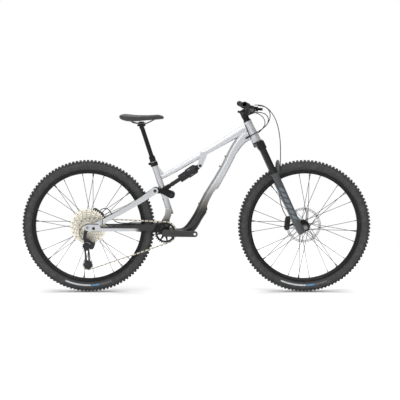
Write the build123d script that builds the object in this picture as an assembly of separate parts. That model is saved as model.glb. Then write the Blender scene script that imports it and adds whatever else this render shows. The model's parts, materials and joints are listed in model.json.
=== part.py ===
"""Full-suspension mountain bike. Millimetres, +X forward, +Z up, drive side at -Y, ground at Z = 0."""
import os
from math import atan2, cos, degrees, hypot, pi, radians, sin, sqrt

from build123d import *

# ---- driving dimensions -------------------------------------------------------------------
WHEEL_RADIUS = 373.0
WHEELBASE = 1214.0
TYRE_SECTION_RADIUS = 30.0
TYRE_WALL = 3.0
RIM_HALF_WIDTH = 17.5
RIM_INNER_RADIUS = 297.0
SPOKE_COUNT = 32
SPOKE_RADIUS = 1.0
NIPPLE_RADIUS = 2.1
NIPPLE_LENGTH = 14.0
FRONT_ROTOR_RADIUS = 100.0
REAR_ROTOR_RADIUS = 90.0
ROTOR_THICKNESS = 1.8
FRONT_HUB_HALF_WIDTH = 55.0
REAR_HUB_HALF_WIDTH = 74.0
AXLE_RADIUS = {"front": 7.5, "rear": 6.0}

HEAD_ANGLE = 65.0
FORK_OFFSET = 44.0
LEG_AHEAD = 12.5
LEG_SPACING = 67.5
STANCHION_RADIUS = 17.5
CROWN_RACE = 541.0
CROWN_UNDERSIDE = 496.0
LOWERS_TOP = 348.0
HEAD_TUBE = (546.0, 670.0)
STEM_CENTRE = 715.0
STEM_REACH = 45.0
BAR_HALF_WIDTH = 390.0
BAR_BACKSWEEP = 9.0
BAR_UPSWEEP = 5.0
BAR_RADIUS = 11.1
CLAMP_RADIUS = 15.9
GRIP_LENGTH = 130.0
GRIP_RADIUS = 16.0

BOTTOM_BRACKET = (-173.6, 342.0)
CRANK_LENGTH = 165.0
CRANK_SLOPE = -2.1
CHAIN_PITCH = 12.7
ROLLER_RADIUS = 3.85
CHAIN_PLANE = -46.5
CHAINRING_TEETH = 30
DRIVE_COG = 24
COG_TEETH = (50, 42, 36, 32, 28, 24, 21, 18, 16, 14, 12, 10)
COG_PITCH = 3.6
COG_THICKNESS = 1.6
GUIDE_TEETH = 12
TENSION_TEETH = 14
PEDAL_THREAD_RADIUS = 7.14

SEAT_ANGLE = 72.0
SEAT_TUBE_TOP = (-241.6, 736.0)
SEAT_TUBE_RADIUS = 17.6
POST_OUTER_RADIUS = 15.8
POST_RADIUS = 12.5
POST_EXPOSED = 177.0
COLLAR_LENGTH = 31.0

MAIN_PIVOT = (-200.0, 380.0)
HORST_PIVOT = (-571.9, 368.3)
STAY_PIVOT = (-231.1, 574.9)
ROCKER_PIVOT = (-139.9, 550.8)
SHOCK_TOP = (20.8, 714.3)
SHOCK_EYE = (-152.9, 598.5)
YOKE_LENGTH = 46.0
SHOCK_SHAFT_RADIUS = 11.5
STAY_BOLT_RADIUS = 4.2
HOSE_RADIUS = 2.5

# ---- clearances ---------------------------------------------------------------------------
FIT = 0.05
GAP = 0.3
OPEN_PIVOT_GAP = 4.3
SEAT_CLEARANCE = 0.6

# ---- derived places -----------------------------------------------------------------------
REAR_HUB = (-WHEELBASE / 2, WHEEL_RADIUS)
FRONT_HUB = (WHEELBASE / 2, WHEEL_RADIUS)
UP_AXIS = Vector(-cos(radians(HEAD_ANGLE)), 0, sin(radians(HEAD_ANGLE)))
AHEAD = Vector(sin(radians(HEAD_ANGLE)), 0, cos(radians(HEAD_ANGLE)))
STEER_ORIGIN = Vector(FRONT_HUB[0], 0, FRONT_HUB[1]) - AHEAD * FORK_OFFSET
SIDE = Plane(origin=(0, 0, 0), x_dir=(1, 0, 0), z_dir=(0, -1, 0))
STEER = Plane(origin=STEER_ORIGIN, x_dir=AHEAD, z_dir=(0, -1, 0))
SHOCK_DIR = Vector(SHOCK_EYE[0] - SHOCK_TOP[0], 0, SHOCK_EYE[1] - SHOCK_TOP[1]).normalized()
SHOCK_LENGTH = hypot(SHOCK_EYE[0] - SHOCK_TOP[0], SHOCK_EYE[1] - SHOCK_TOP[1])
SHOCK = Plane(origin=(SHOCK_TOP[0], 0, SHOCK_TOP[1]), x_dir=SHOCK_DIR, z_dir=(0, -1, 0))
SEAT_UP = Vector(-cos(radians(SEAT_ANGLE)), 0, sin(radians(SEAT_ANGLE)))


# ---- helpers ------------------------------------------------------------------------------
def slab(sketch, y0, y1, plane=SIDE):
    """Extrude a side-view sketch from Y = y0 to Y = y1."""
    base = Plane(origin=plane.origin + Vector(0, y1, 0), x_dir=plane.x_dir, z_dir=plane.z_dir)
    return extrude(base * sketch, y1 - y0)


def disc(centre, radius, y0, y1, plane=SIDE):
    return slab(Pos(centre[0], centre[1]) * Circle(radius), y0, y1, plane)


def ring(centre, outer, inner, y0, y1, plane=SIDE):
    return slab(Pos(centre[0], centre[1]) * (Circle(outer) - Circle(inner)), y0, y1, plane)


def both_sides(make, y0, y1):
    """The same piece on the left and, mirrored, on the right."""
    return [make(y0, y1), make(-y1, -y0)]


def bar(p, q, rp, rq):
    """Flat link outline: two circles and their outer tangents."""
    dx, dz = q[0] - p[0], q[1] - p[1]
    length = hypot(dx, dz)
    along = atan2(dz, dx)
    lean = atan2(sqrt(length**2 - (rp - rq) ** 2), rp - rq)
    points = []
    for centre, radius, turn in ((p, rp, lean), (q, rq, lean), (q, rq, -lean), (p, rp, -lean)):
        points.append((centre[0] + radius * cos(along + turn), centre[1] + radius * sin(along + turn)))
    outline = make_face(Polyline(*points, close=True))
    return outline + Pos(*p) * Circle(rp) + Pos(*q) * Circle(rq)


def chain_of_bars(points, radii):
    outline = bar(points[0], points[1], radii[0], radii[1])
    for i in range(1, len(points) - 1):
        outline += bar(points[i], points[i + 1], radii[i], radii[i + 1])
    return outline


def rod(p, q, radius, inner=0.0):
    """Round bar or tube between two points in space."""
    start, end = Vector(*p), Vector(*q)
    section = Circle(radius) - Circle(inner) if inner else Circle(radius)
    return extrude(Plane(origin=start, z_dir=end - start) * section, (end - start).length)


def outline(*points):
    return make_face(Polyline(*points, close=True))


def wheel_part(hub, profile):
    """Revolve a (Y, radius) outline about a hub."""
    face = Plane(origin=(hub[0], 0, hub[1]), x_dir=(0, 1, 0), z_dir=(1, 0, 0)) * profile
    return revolve(face, Axis((hub[0], 0, hub[1]), (0, 1, 0)))


def steer_part(profile):
    """Revolve a (radius, height) outline about the steering axis."""
    return revolve(STEER * profile, Axis(STEER_ORIGIN, UP_AXIS))


def steer_point(ahead, up, y=0.0):
    return STEER_ORIGIN + AHEAD * ahead + UP_AXIS * up + Vector(0, y, 0)


def pitch_radius(teeth):
    return CHAIN_PITCH / (2 * sin(pi / teeth))


def toothed(centre, teeth, phase, bore, y0, y1, tip=2.6):
    """Sprocket blank with a roller seat and a flared gap at each pitch point."""
    radius = pitch_radius(teeth)
    seat = Circle(ROLLER_RADIUS + SEAT_CLEARANCE)
    flare = outline((0, -4.2), (6, -5.4), (6, 5.4), (0, 4.2))
    blank = Circle(radius + tip)
    gap = Sketch() + [Rot(0, 0, phase + 360 / teeth * i) * Pos(radius,
                                                               0) * (seat + flare) for i in range(teeth)]
    return slab(Pos(*centre) * (blank - gap - Circle(bore)), y0, y1)


def save(node, *solids):
    flat = []
    for item in solids:
        flat.extend(item if isinstance(item, (list, tuple)) else [item])
    pieces = []
    for item in flat:
        pieces.extend(item.solids())
    part = pieces[0] if len(pieces) == 1 else Compound(children=pieces)
    part.label = node
    export_step(part, f"parts/{node}.step")
    print(node, len(pieces), round(sum(p.volume for p in pieces) / 1000, 1), "cm3")


# ---- frame --------------------------------------------------------------------------------
def tube_section(x, z, angle, depth, width, wall=0.0):
    """Rounded rectangle across a frame tube that runs at an angle in the side view."""
    along = Vector(cos(radians(angle)), 0, sin(radians(angle)))
    plane = Plane(origin=(x, 0, z), x_dir=(0, 1, 0), z_dir=along)
    w, d = width - 2 * wall, depth - 2 * wall
    return plane * RectangleRounded(w, d, 0.42 * min(w, d))


DOWN_TUBE = [
    (-173.6, 341, 0, 42, 50), (-120, 339, 5, 44, 54), (-80, 337.5, 18, 48, 58), (-38, 362, 45, 55, 58),
    (-12, 396, 57, 56, 56), (24.5, 458, 61.5, 57, 54), (104, 607, 61.5, 53, 50), (187.6, 760, 61.5, 50, 48),
    (216, 812, 58, 52, 46), (246, 852, 48, 56, 44), (290, 886, 32, 64, 42),
]
TOP_TUBE = [
    (-196, 650, 29, 25, 31), (-92.7, 704.2, 30.5, 26.7, 34), (19.7, 770.2, 31.5, 29.2, 38),
    (132, 836, 31.5, 36, 41), (188.3, 869.7, 31.5, 41, 42), (275, 921, 31.5, 46, 42),
]
TUBE_WALL = 2.4


def seat_axis_point(z, y=0.0):
    top = Vector(SEAT_TUBE_TOP[0], y, SEAT_TUBE_TOP[1])
    return top + SEAT_UP * ((z - SEAT_TUBE_TOP[1]) / SEAT_UP.Z)


def front_frame():
    down = loft([tube_section(*s) for s in DOWN_TUBE])
    top = loft([tube_section(*s) for s in TOP_TUBE])
    seat = rod(seat_axis_point(440), seat_axis_point(SEAT_TUBE_TOP[1]), SEAT_TUBE_RADIUS)
    base_outline = outline(
        (-173, 480), (-139, 466), (-140, 452), (-143, 430), (-151, 407), (-150, 350), (-173, 330),
        (-195, 352), (-205, 372), (-205, 392), (-194, 407), (-184, 424), (-176, 441),
    )
    base = slab(base_outline, -19, 19)
    base = fillet(base.edges().group_by(Axis.Y)[0] + base.edges().group_by(Axis.Y)[-1], 5)
    shell = disc(BOTTOM_BRACKET, 23, -36.5, 36.5)
    pivot = disc(MAIN_PIVOT, 16, -24, 24)
    rocker_lug = slab(bar((-178, 546), ROCKER_PIVOT, 17, 16), -17, 17) + disc(ROCKER_PIVOT, 16, -25.8, 25.8)
    gusset = slab(outline((-216, 715), (-181, 668), (-196, 645), (-222, 690)), -7, 7)
    head = steer_part(outline((0, HEAD_TUBE[0]), (28, HEAD_TUBE[0]), (27.5, 575), (23.5, 625),
                              (23, HEAD_TUBE[1]),
                              (0, HEAD_TUBE[1])))
    shock_lug = slab(bar((38, 772), SHOCK_TOP, 20, 13), -21, 21)
    solid = down + top + seat + base + shell + pivot + rocker_lug + gusset + head + shock_lug
    inner_down = loft([tube_section(*s, TUBE_WALL) for s in DOWN_TUBE[1:-1]])
    inner_top = loft([tube_section(*s, TUBE_WALL) for s in TOP_TUBE[1:-1]])
    solid = solid - inner_down - inner_top
    solid -= slab(bar(SHOCK_TOP, (10, 690), 15, 29), -12.2, 12.2)
    solid -= rod(seat_axis_point(490), seat_axis_point(SEAT_TUBE_TOP[1] + 5), POST_OUTER_RADIUS + FIT)
    solid -= disc(BOTTOM_BRACKET, 20.5, -40, 40)
    solid -= disc(MAIN_PIVOT, 7.5, -40, 40)
    solid -= disc(ROCKER_PIVOT, 7.5, -40, 40)
    solid -= disc(SHOCK_TOP, 5 + FIT, -40, 40)
    solid -= steer_part(outline((0, HEAD_TUBE[0] - 1), (24.95, HEAD_TUBE[0] - 1), (24.95, HEAD_TUBE[0] + 9),
                                (22, HEAD_TUBE[0] + 9), (18.5, 600), (18.5, HEAD_TUBE[1] - 9),
                                (20.95, HEAD_TUBE[1] - 9), (20.95, HEAD_TUBE[1] + 1), (0, HEAD_TUBE[1] + 1)))
    for boss in bottle_bosses():
        solid -= rod(boss[0] + boss[1] * 3, boss[0] - boss[1] * 9, 2.6)
        solid -= rod(boss[0] + boss[1] * 0.5, boss[0] + boss[1] * 6, 5.6)
    return solid


def bottle_bosses():
    """Point on the tube's skin and outward direction of each bottle boss."""
    along = Vector(cos(radians(61.5)), 0, sin(radians(61.5)))
    out = Vector(-along.Z, 0, along.X)
    centre = Vector(104, 0, 607)
    places = []
    for distance in (-137, -73.5, 103, 167):
        depth = 57 - (distance + 170) * 0.0206
        places.append((centre + along * distance + out * (depth / 2 - 0.5), out))
    return places


def bottle_bolts():
    bolts = []
    for place, out in bottle_bosses():
        head = rod(place + out * 0.6, place + out * 4.2, 5.0)
        shank = rod(place + out * 0.6, place - out * 8, 2.5)
        socket = rod(place + out * 2.2, place + out * 4.3, 2.0)
        bolts.append(head + shank - socket)
    return bolts


def frame_bearings():
    upper = steer_part(outline((14.4, 661.1), (20.9, 661.1), (20.9, 670), (22.5, 670.1), (22.5, 671.5),
                               (14.4, 671.5)))
    lower = steer_part(outline((20, 541.3), (26, 541.3), (26, 545.9), (24.9, 545.9), (24.9, 554.8),
                               (20, 554.8)))
    cups = []
    for y0, y1, lip in ((24, 36.6, 42), (-36.6, -24, -42)):
        body = ring(BOTTOM_BRACKET, 20.45, 14.55, y0, y1)
        flange = ring(BOTTOM_BRACKET, 22.5, 14.55, *sorted((lip, 36.6 if lip > 0 else -36.6)))
        cups.append(body + flange)
    return [upper, lower] + cups


def frame_axles():
    main = disc(MAIN_PIVOT, 7.45, -33.9, 33.9) + disc(MAIN_PIVOT, 10, 34.3, 36) + disc(MAIN_PIVOT, 7.45,
            33.8, 35)
    main += disc(MAIN_PIVOT, 7.45, -35, -33.8) + disc(MAIN_PIVOT, 10, -36, -34.3)
    rocker = disc(ROCKER_PIVOT, 7.45, -34, 34)
    for y0, y1 in ((33.4, 36), (-36, -33.4)):
        rocker += disc(ROCKER_PIVOT, 10, y0, y1)
    shock = disc(SHOCK_TOP, 5, -21.2, 21.2) + disc(SHOCK_TOP, 8, 21.1, 24) + disc(SHOCK_TOP, 8, -24, -21.1)
    return [main, rocker, shock]


def seat_clamp():
    low, high = seat_axis_point(712), seat_axis_point(734)
    middle = seat_axis_point(723)
    band = rod(low, high, 21.5)
    band += slab(outline((middle.X - 14, 715), (middle.X - 31, 717), (middle.X - 31, 730),
                         (middle.X - 14, 731)), -6, 6)
    band += disc((middle.X - 25.5, 723), 4.5, -10.5, 10.5)
    return band - rod(low - SEAT_UP * 9, high + SEAT_UP * 9, SEAT_TUBE_RADIUS + FIT)


def dropper_outer():
    collar_low = seat_axis_point(736.6)
    top = collar_low + SEAT_UP * COLLAR_LENGTH
    body = rod(seat_axis_point(505), top, POST_OUTER_RADIUS)
    body += rod(collar_low, top, 17.2)
    return body - rod(seat_axis_point(508), top + SEAT_UP, POST_RADIUS + FIT)


def down_tube_guard():
    """Rubber-like guard under the lower half of the down tube, following its skin."""
    outer = loft([tube_section(*s, -2.8) for s in DOWN_TUBE])
    inner = loft([tube_section(*s, -GAP) for s in DOWN_TUBE])
    keep = slab(outline((-70, 300), (-70, 330), (-35, 352), (0, 387), (42, 452), (100, 452), (100, 300)),
                -40, 40)
    return (outer - inner) & keep


# ---- crankset -----------------------------------------------------------------------------
def crank_point(reach, across=0.0):
    a = radians(CRANK_SLOPE)
    return (BOTTOM_BRACKET[0] + reach * cos(a) - across * sin(a),
            BOTTOM_BRACKET[1] + reach * sin(a) + across * cos(a))


def crank_end(sign):
    return crank_point(CRANK_LENGTH * sign)


def crank_arm(y0, y1, sign):
    eye = crank_end(sign)
    arm = slab(bar(BOTTOM_BRACKET, eye, 20, 16), y0, y1)
    arm = fillet(arm.edges().filter_by(GeomType.LINE).group_by(Axis.Y)[0], 3)
    outer = arm - slab(bar(crank_point(40 * sign), crank_point(125 * sign), 8, 7), y0 - 1, y0 + 3)
    return outer - disc(eye, PEDAL_THREAD_RADIUS, y0 - 1, y1 + 1)


def crank_arm_right():
    arm = crank_arm(-82, -68, 1)
    hub = disc(BOTTOM_BRACKET, 17, -69, -42.4)
    spindle = ring(BOTTOM_BRACKET, 14.5, 12, -43, 66)
    return (arm + hub + spindle) - disc(BOTTOM_BRACKET, 12, -60, 70)


def crank_arm_left():
    arm = crank_arm(68, 82, -1) + disc(BOTTOM_BRACKET, 20, 44, 69)
    return arm - disc(BOTTOM_BRACKET, 14.5 + FIT, 43, 67)


def chainring(phase):
    body = toothed(BOTTOM_BRACKET, CHAINRING_TEETH, phase, 48, CHAIN_PLANE - 0.9, CHAIN_PLANE + 0.9)
    rim = ring(BOTTOM_BRACKET, 53, 46, CHAIN_PLANE - 1.6, CHAIN_PLANE + 1.6)
    web = ring(BOTTOM_BRACKET, 25, 17 + FIT, CHAIN_PLANE - 2, CHAIN_PLANE + 2)
    arms = Sketch()
    for i in range(8):
        arms += Rot(0, 0, 45 * i + 12) * bar((21, 0), (48, 0), 6, 4)
    web += slab(Pos(*BOTTOM_BRACKET) * (arms - Circle(20)), CHAIN_PLANE - 1.6, CHAIN_PLANE + 1.6)
    return body + rim + web


# ---- chain path ---------------------------------------------------------------------------
GUIDE_PULLEY = (-616.5, 264.1)
CAGE_LENGTH = 105.4
CAGE_ANGLE = -82.4


def tension_centre(angle):
    a = radians(angle)
    return (GUIDE_PULLEY[0] + CAGE_LENGTH * cos(a), GUIDE_PULLEY[1] + CAGE_LENGTH * sin(a))


def chain_segments(angle):
    """Straight runs and arcs of the chain loop: (length, function of distance along it)."""
    wheels = [
        (BOTTOM_BRACKET, pitch_radius(CHAINRING_TEETH), -1),
        (tension_centre(angle), pitch_radius(TENSION_TEETH), -1),
        (GUIDE_PULLEY, pitch_radius(GUIDE_TEETH), 1),
        (REAR_HUB, pitch_radius(DRIVE_COG), -1),
    ]
    headings = []
    for i, (c1, r1, s1) in enumerate(wheels):
        c2, r2, s2 = wheels[(i + 1) % 4]
        base = atan2(c2[1] - c1[1], c2[0] - c1[0])
        headings.append(base - sin_inverse((s2 * r2 - s1 * r1) / hypot(c2[0] - c1[0], c2[1] - c1[1])))
    segments = []
    for i, (c1, r1, s1) in enumerate(wheels):
        before, after = headings[i - 1], headings[i]
        sweep = (s1 * (after - before)) % (2 * pi)
        start = before - s1 * pi / 2
        segments.append((sweep * r1, arc_point(c1, r1, start, s1)))
        c2, r2, s2 = wheels[(i + 1) % 4]
        begin = (c1[0] + s1 * r1 * sin(after), c1[1] - s1 * r1 * cos(after))
        end = (c2[0] + s2 * r2 * sin(after), c2[1] - s2 * r2 * cos(after))
        segments.append((hypot(end[0] - begin[0], end[1] - begin[1]), line_point(begin, after)))
    return segments


def sin_inverse(value):
    return atan2(value, sqrt(1 - value * value))


def arc_point(centre, radius, start, sense):
    return lambda s: (centre[0] + radius * cos(start + sense * s / radius),
                      centre[1] + radius * sin(start + sense * s / radius))


def line_point(begin, heading):
    return lambda s: (begin[0] + s * cos(heading), begin[1] + s * sin(heading))


def along_chain(segments, distance):
    for length, place in segments:
        if distance <= length:
            return place(distance)
        distance -= length
    return segments[0][1](distance)


def walk_chain(angle):
    """Step one pitch at a time round the loop; returns the roller centres and the misfit at closing."""
    segments = chain_segments(angle)
    total = sum(length for length, _ in segments)
    rollers, distance = [along_chain(segments, 0)], 0.0
    while True:
        here = rollers[-1]
        step = CHAIN_PITCH
        for _ in range(6):
            there = along_chain(segments, distance + step)
            step += CHAIN_PITCH - hypot(there[0] - here[0], there[1] - here[1])
        distance += step
        if distance > total - 0.4 * CHAIN_PITCH:
            return rollers, distance - total
        rollers.append(along_chain(segments, distance))


def closed_chain():
    """Swing the cage until an even number of whole links closes the loop."""
    low, high = CAGE_ANGLE - 12, CAGE_ANGLE + 12
    best = None
    for i in range(49):
        angle = low + (high - low) * i / 48
        rollers, misfit = walk_chain(angle)
        even = len(rollers) % 2 == 0
        if even and (best is None or abs(misfit) < abs(best[1])):
            best = (angle, misfit)
    angle = best[0]
    for _ in range(30):
        rollers, misfit = walk_chain(angle)
        probe = walk_chain(angle + 0.02)[1]
        angle -= misfit * 0.02 / (probe - misfit)
    return angle, walk_chain(angle)[0]


def phase_of(centre, teeth, rollers):
    """Angle of the roller that sits deepest on a wheel."""
    def misfit(p):
        return abs(hypot(p[0] - centre[0], p[1] - centre[1]) - pitch_radius(teeth))
    seated = [p for p in rollers if misfit(p) < 0.02]
    middle = seated[len(seated) // 2]
    return degrees(atan2(middle[1] - centre[1], middle[0] - centre[0]))


def chain(angle, rollers):
    """Two side strips that follow the whole loop, and a roller at every pitch."""
    edges = []
    for length, place in chain_segments(angle):
        if length < 0.01:
            continue
        start, mid, end = place(0), place(length / 2), place(length)
        straight = hypot(end[0] - start[0], end[1] - start[1]) > length - 1e-6
        edges.append(Line(start, end) if straight else ThreePointArc(start, mid, end))
    loop = Wire(edges)
    band = make_face(loop.offset_2d(3.9)) - make_face(loop.offset_2d(-3.9))
    pins = Sketch() + [Pos(*p) * Circle(ROLLER_RADIUS) for p in rollers]
    strips = slab(band, CHAIN_PLANE - 2.55, CHAIN_PLANE - 1.3) + slab(band, CHAIN_PLANE + 1.3,
                                                                      CHAIN_PLANE + 2.55)
    return strips + slab(pins, CHAIN_PLANE - 1.3, CHAIN_PLANE + 1.3)


# ---- swingarm, seatstays and rocker -------------------------------------------------------
def chainstays():
    """Top-view band of each stay cut to its side-view height, joined by a yoke behind the pivot."""
    path = [(-200, 29), (-218, 31), (-240, 39.5), (-300, 46), (-400, 57), (-490, 67), (-530, 69.6),
            (-590, 69.8)]
    halves = [4.6, 4.6, 4.0, 6.0, 6.5, 5.0, 4.0, 3.9]
    left, right = [], []
    for (x, y), half in zip(path, halves):
        left.append((x, y + half))
        right.append((x, y - half))
    band = extrude(outline(*(left + right[::-1])), 300)
    ears_outline = chain_of_bars([MAIN_PIVOT, (-250, 370), (-330, 366), (-500, 364), HORST_PIVOT],
                                 [16, 17, 16, 12.5, 11.2])
    profile = slab(ears_outline, -90, 90)
    stay = profile & (Pos(0, 0, 200) * band)
    stay = stay & (slab(outline((-700, 200), (-150, 200), (-150, 600), (-700, 600)), 24.4, 73.7))
    yoke = slab(outline((-219, 366), (-232.5, 362), (-234.5, 392), (-221, 396)), -33, 33)
    both = stay + mirror(stay, Plane.XZ)
    both += yoke - Pos(REAR_HUB[0], 0, REAR_HUB[1]) * Rot(90, 0, 0) * Cylinder(WHEEL_RADIUS + 2.5, 80)
    both -= disc(MAIN_PIVOT, 18, -24.4, 24.4)
    both -= disc(MAIN_PIVOT, 12.05, -40, 40)
    both -= disc(HORST_PIVOT, 8.05, -80, 80)
    return both


def chainstay_bearings():
    rings = both_sides(lambda a, b: ring(MAIN_PIVOT, 12, 7.5, a, b), 25, 33.4)
    rings += both_sides(lambda a, b: ring(HORST_PIVOT, 8, 5 + FIT, a, b), 66.2, 73.5)
    return rings


def chainstay_guard():
    """Ribbed rubber over the top of the drive-side stay."""
    path = [(-262, 41.9), (-300, 46), (-400, 57), (-490, 67)]
    left = [(x, -(y - 6.8)) for x, y in path]
    right = [(x, -(y + 6.8)) for x, y in path]
    band = Pos(0, 0, 200) * extrude(outline(*(left + right[::-1])), 300)
    top = chain_of_bars([(-250, 370), (-330, 366), (-500, 364)], [17 + GAP, 16 + GAP, 12.5 + GAP])
    thick = chain_of_bars([(-250, 370), (-330, 366), (-500, 364)], [20, 19, 15.5])
    upper = outline((-262, 376), (-330, 374), (-490, 370), (-490, 420), (-262, 420))
    return slab((thick - top) & upper, -90, 90) & band


def seatstay(side):
    """Stay and dropout in one piece; Y is positive here and mirrored for the drive side."""
    path = [(-205, 38.8), (-250, 38.8), (-290, 46), (-380, 58), (-470, 71), (-530, 77.6), (-660, 77.6)]
    halves = [5, 5, 5.6, 6, 5.2, 3.5, 3.5]
    left = [(x, y + h) for (x, y), h in zip(path, halves)]
    right = [(x, y - h) for (x, y), h in zip(path, halves)]
    band = Pos(0, 0, 200) * extrude(outline(*(left + right[::-1])), 500)
    side_view = chain_of_bars([STAY_PIVOT, (-300, 529), (-420, 457), (-540, 397), (-588, 376)],
                              [18, 15, 12, 12, 14])
    side_view += bar(REAR_HUB, (-548, 369), 18, 16)
    side_view += bar(REAR_HUB, (-600, 385), 18, 14)
    stay = slab(side_view, 20, 90) & band
    stay -= disc(STAY_PIVOT, STAY_BOLT_RADIUS + FIT, 20, 60)
    stay -= disc(HORST_PIVOT, 5.05, 60, 90)
    stay -= disc(REAR_HUB, AXLE_RADIUS["rear"] + FIT, 60, 90)
    return stay if side > 0 else mirror(stay, Plane.XZ)


def rear_axle():
    body = disc(REAR_HUB, AXLE_RADIUS["rear"], -81.2, 81.2)
    return body + disc(REAR_HUB, 9, 81.2, 84) + disc(REAR_HUB, 8, -83.5, -81.2)


def stay_bolts():
    bolts = []
    for y0, y1 in ((27.5, 44.1), (-44.1, -27.5)):
        head = (44.1, 46.5) if y0 > 0 else (-46.5, -44.1)
        bolts.append(disc(STAY_PIVOT, STAY_BOLT_RADIUS, y0, y1) + disc(STAY_PIVOT, 9, *head))
    for y0, y1 in ((66.5, 81.3), (-81.3, -66.5)):
        head = (81.3, 83.6) if y0 > 0 else (-83.6, -81.3)
        bolts.append(disc(HORST_PIVOT, 5, y0, y1) + disc(HORST_PIVOT, 8.5, *head))
    return bolts


YOKE_PIVOT = (SHOCK_EYE[0] + SHOCK_DIR.X * YOKE_LENGTH, SHOCK_EYE[1] + SHOCK_DIR.Z * YOKE_LENGTH)


def rocker():
    side_view = chain_of_bars([STAY_PIVOT, YOKE_PIVOT, ROCKER_PIVOT], [15, 14, 19])
    plates = []
    for y0, y1 in ((26.3, 33), (-33, -26.3)):
        plate = slab(side_view, y0, y1)
        plate -= disc(STAY_PIVOT, STAY_BOLT_RADIUS + OPEN_PIVOT_GAP, -40, 40)
        plate -= disc(ROCKER_PIVOT, 7.5, -40, 40)
        bolt = disc(YOKE_PIVOT, 4, 20, 34) if y0 > 0 else disc(YOKE_PIVOT, 4, -34, -20)
        plates.append(plate - disc(YOKE_PIVOT, 4 + FIT, -40, 40))
        plates.append(bolt)
    return plates


# ---- shock --------------------------------------------------------------------------------
def shock_revolve(*points):
    """Solid of revolution about the shock axis from (distance, radius) points."""
    face = SHOCK * outline(*points)
    return revolve(face, Axis((SHOCK_TOP[0], 0, SHOCK_TOP[1]), SHOCK_DIR))


def shock_can():
    body = shock_revolve((24, 0), (24, 18), (30, 24), (34, 27), (84, 27), (90, 22.5), (136, 22.5),
                         (138, 20), (138, 0))
    eye = disc(SHOCK_TOP, 12, -11.8, 11.8) + slab(bar((0, 0), (30, 0), 10, 16), -10, 10, SHOCK)
    bore = shock_revolve((88, 0), (88, 19), (132, 19), (132, SHOCK_SHAFT_RADIUS + FIT),
                         (139, SHOCK_SHAFT_RADIUS + FIT), (139, 0))
    shaft_room = shock_revolve((60, 0), (60, 19), (90, 19), (90, 0))
    return body + eye - bore - shaft_room - disc(SHOCK_TOP, 5 + FIT, -20, 20)


def shock_shaft():
    length = SHOCK_LENGTH
    body = shock_revolve((124, 0), (124, 18.9), (131, 18.9), (131, SHOCK_SHAFT_RADIUS),
                         (length - 10, SHOCK_SHAFT_RADIUS),
                         (length - 10, 0))
    body += disc(SHOCK_EYE, 12, -11.5, 11.5)
    body -= disc(SHOCK_EYE, 4 + FIT, -20, 20)
    seat = SHOCK_SHAFT_RADIUS + FIT
    band = shock_revolve((183.4, seat), (183.4, seat + 2.2), (186.6, seat + 2.2), (186.6, seat))
    return [body, band]


def shock_yoke():
    arms = []
    for y0, y1 in ((19, 25.8), (-25.8, -19)):
        arms.append(slab(bar(SHOCK_EYE, YOKE_PIVOT, 12, 13), y0, y1))
    cheek = disc(SHOCK_EYE, 12, 11.7, 25.8) + disc(SHOCK_EYE, 12, -25.8, -11.7)
    s = SHOCK_LENGTH
    bridge = slab(outline((s + 12.6, -10), (s + 20, -9), (s + 20, 9), (s + 12.6, 10)), -25.8, 25.8, SHOCK)
    cheek += slab(outline((s + 4, -10), (s + 13, -10), (s + 13, 10), (s + 4, 10)), 11.9, 25.8, SHOCK)
    cheek += slab(outline((s + 4, -10), (s + 13, -10), (s + 13, 10), (s + 4, 10)), -25.8, -11.9, SHOCK)
    body = arms[0] + arms[1] + cheek + bridge
    body -= disc(YOKE_PIVOT, 4 + OPEN_PIVOT_GAP, -40, 40)
    body -= disc(SHOCK_EYE, 4 + FIT, -40, 40)
    return [body, disc(SHOCK_EYE, 4, -25.7, 25.7)]


# ---- wheels -------------------------------------------------------------------------------
def tyre(hub):
    centre = WHEEL_RADIUS - TYRE_SECTION_RADIUS
    section = Pos(0, centre) * (Circle(TYRE_SECTION_RADIUS) - Circle(TYRE_SECTION_RADIUS - TYRE_WALL))
    section -= Pos(0, centre - TYRE_SECTION_RADIUS) * Rectangle(23, 16)
    section += Pos(13, 315.5) * Rectangle(3.4, 7.4)
    section += Pos(-13, 315.5) * Rectangle(3.4, 7.4)
    return wheel_part(hub, section)


def rim(hub):
    half = RIM_HALF_WIDTH
    outer = outline((-half, 316.4), (-15, 316.4), (-15, 311.6), (-11, 311.6), (-8, 308), (8, 308),
                    (11, 311.6),
                    (15, 311.6), (15, 316.4), (half, 316.4), (half - 1, 306), (9, RIM_INNER_RADIUS),
                    (-9, RIM_INNER_RADIUS), (1 - half, 306))
    hollow = outline((-14, 306.4), (-8.2, 299), (8.2, 299), (14, 306.4), (10, 308.4), (7.4, 306.2),
                     (-7.4, 306.2),
                     (-10, 308.4))
    return wheel_part(hub, outer - hollow)


def spokes(hub, flange_radius, flanges):
    """Crossed spokes with nipples: half of them from each flange, leaning both ways."""
    pieces = []
    per_flange = SPOKE_COUNT // 2
    for side, flange in enumerate(flanges):
        for i in range(per_flange):
            lean = 1 if i % 2 else -1
            angle = 2 * pi * i / per_flange + pi * side / per_flange
            hub_angle = angle + lean * radians(62)
            rim_angle = angle + lean * pi / SPOKE_COUNT * 0.9
            y_hub = flange + lean * 3.1
            start = Vector(hub[0] + flange_radius * cos(hub_angle), y_hub,
                           hub[1] + flange_radius * sin(hub_angle))
            reach = RIM_INNER_RADIUS - 0.3
            y_rim = 3.2 if flange > 0 else -3.2
            end = Vector(hub[0] + reach * cos(rim_angle), y_rim, hub[1] + reach * sin(rim_angle))
            along = (end - start).normalized()
            wire = rod(start, end, SPOKE_RADIUS)
            pieces.append(wire + rod(end - along * NIPPLE_LENGTH, end - along * 0.5, NIPPLE_RADIUS))
    return pieces


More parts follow.
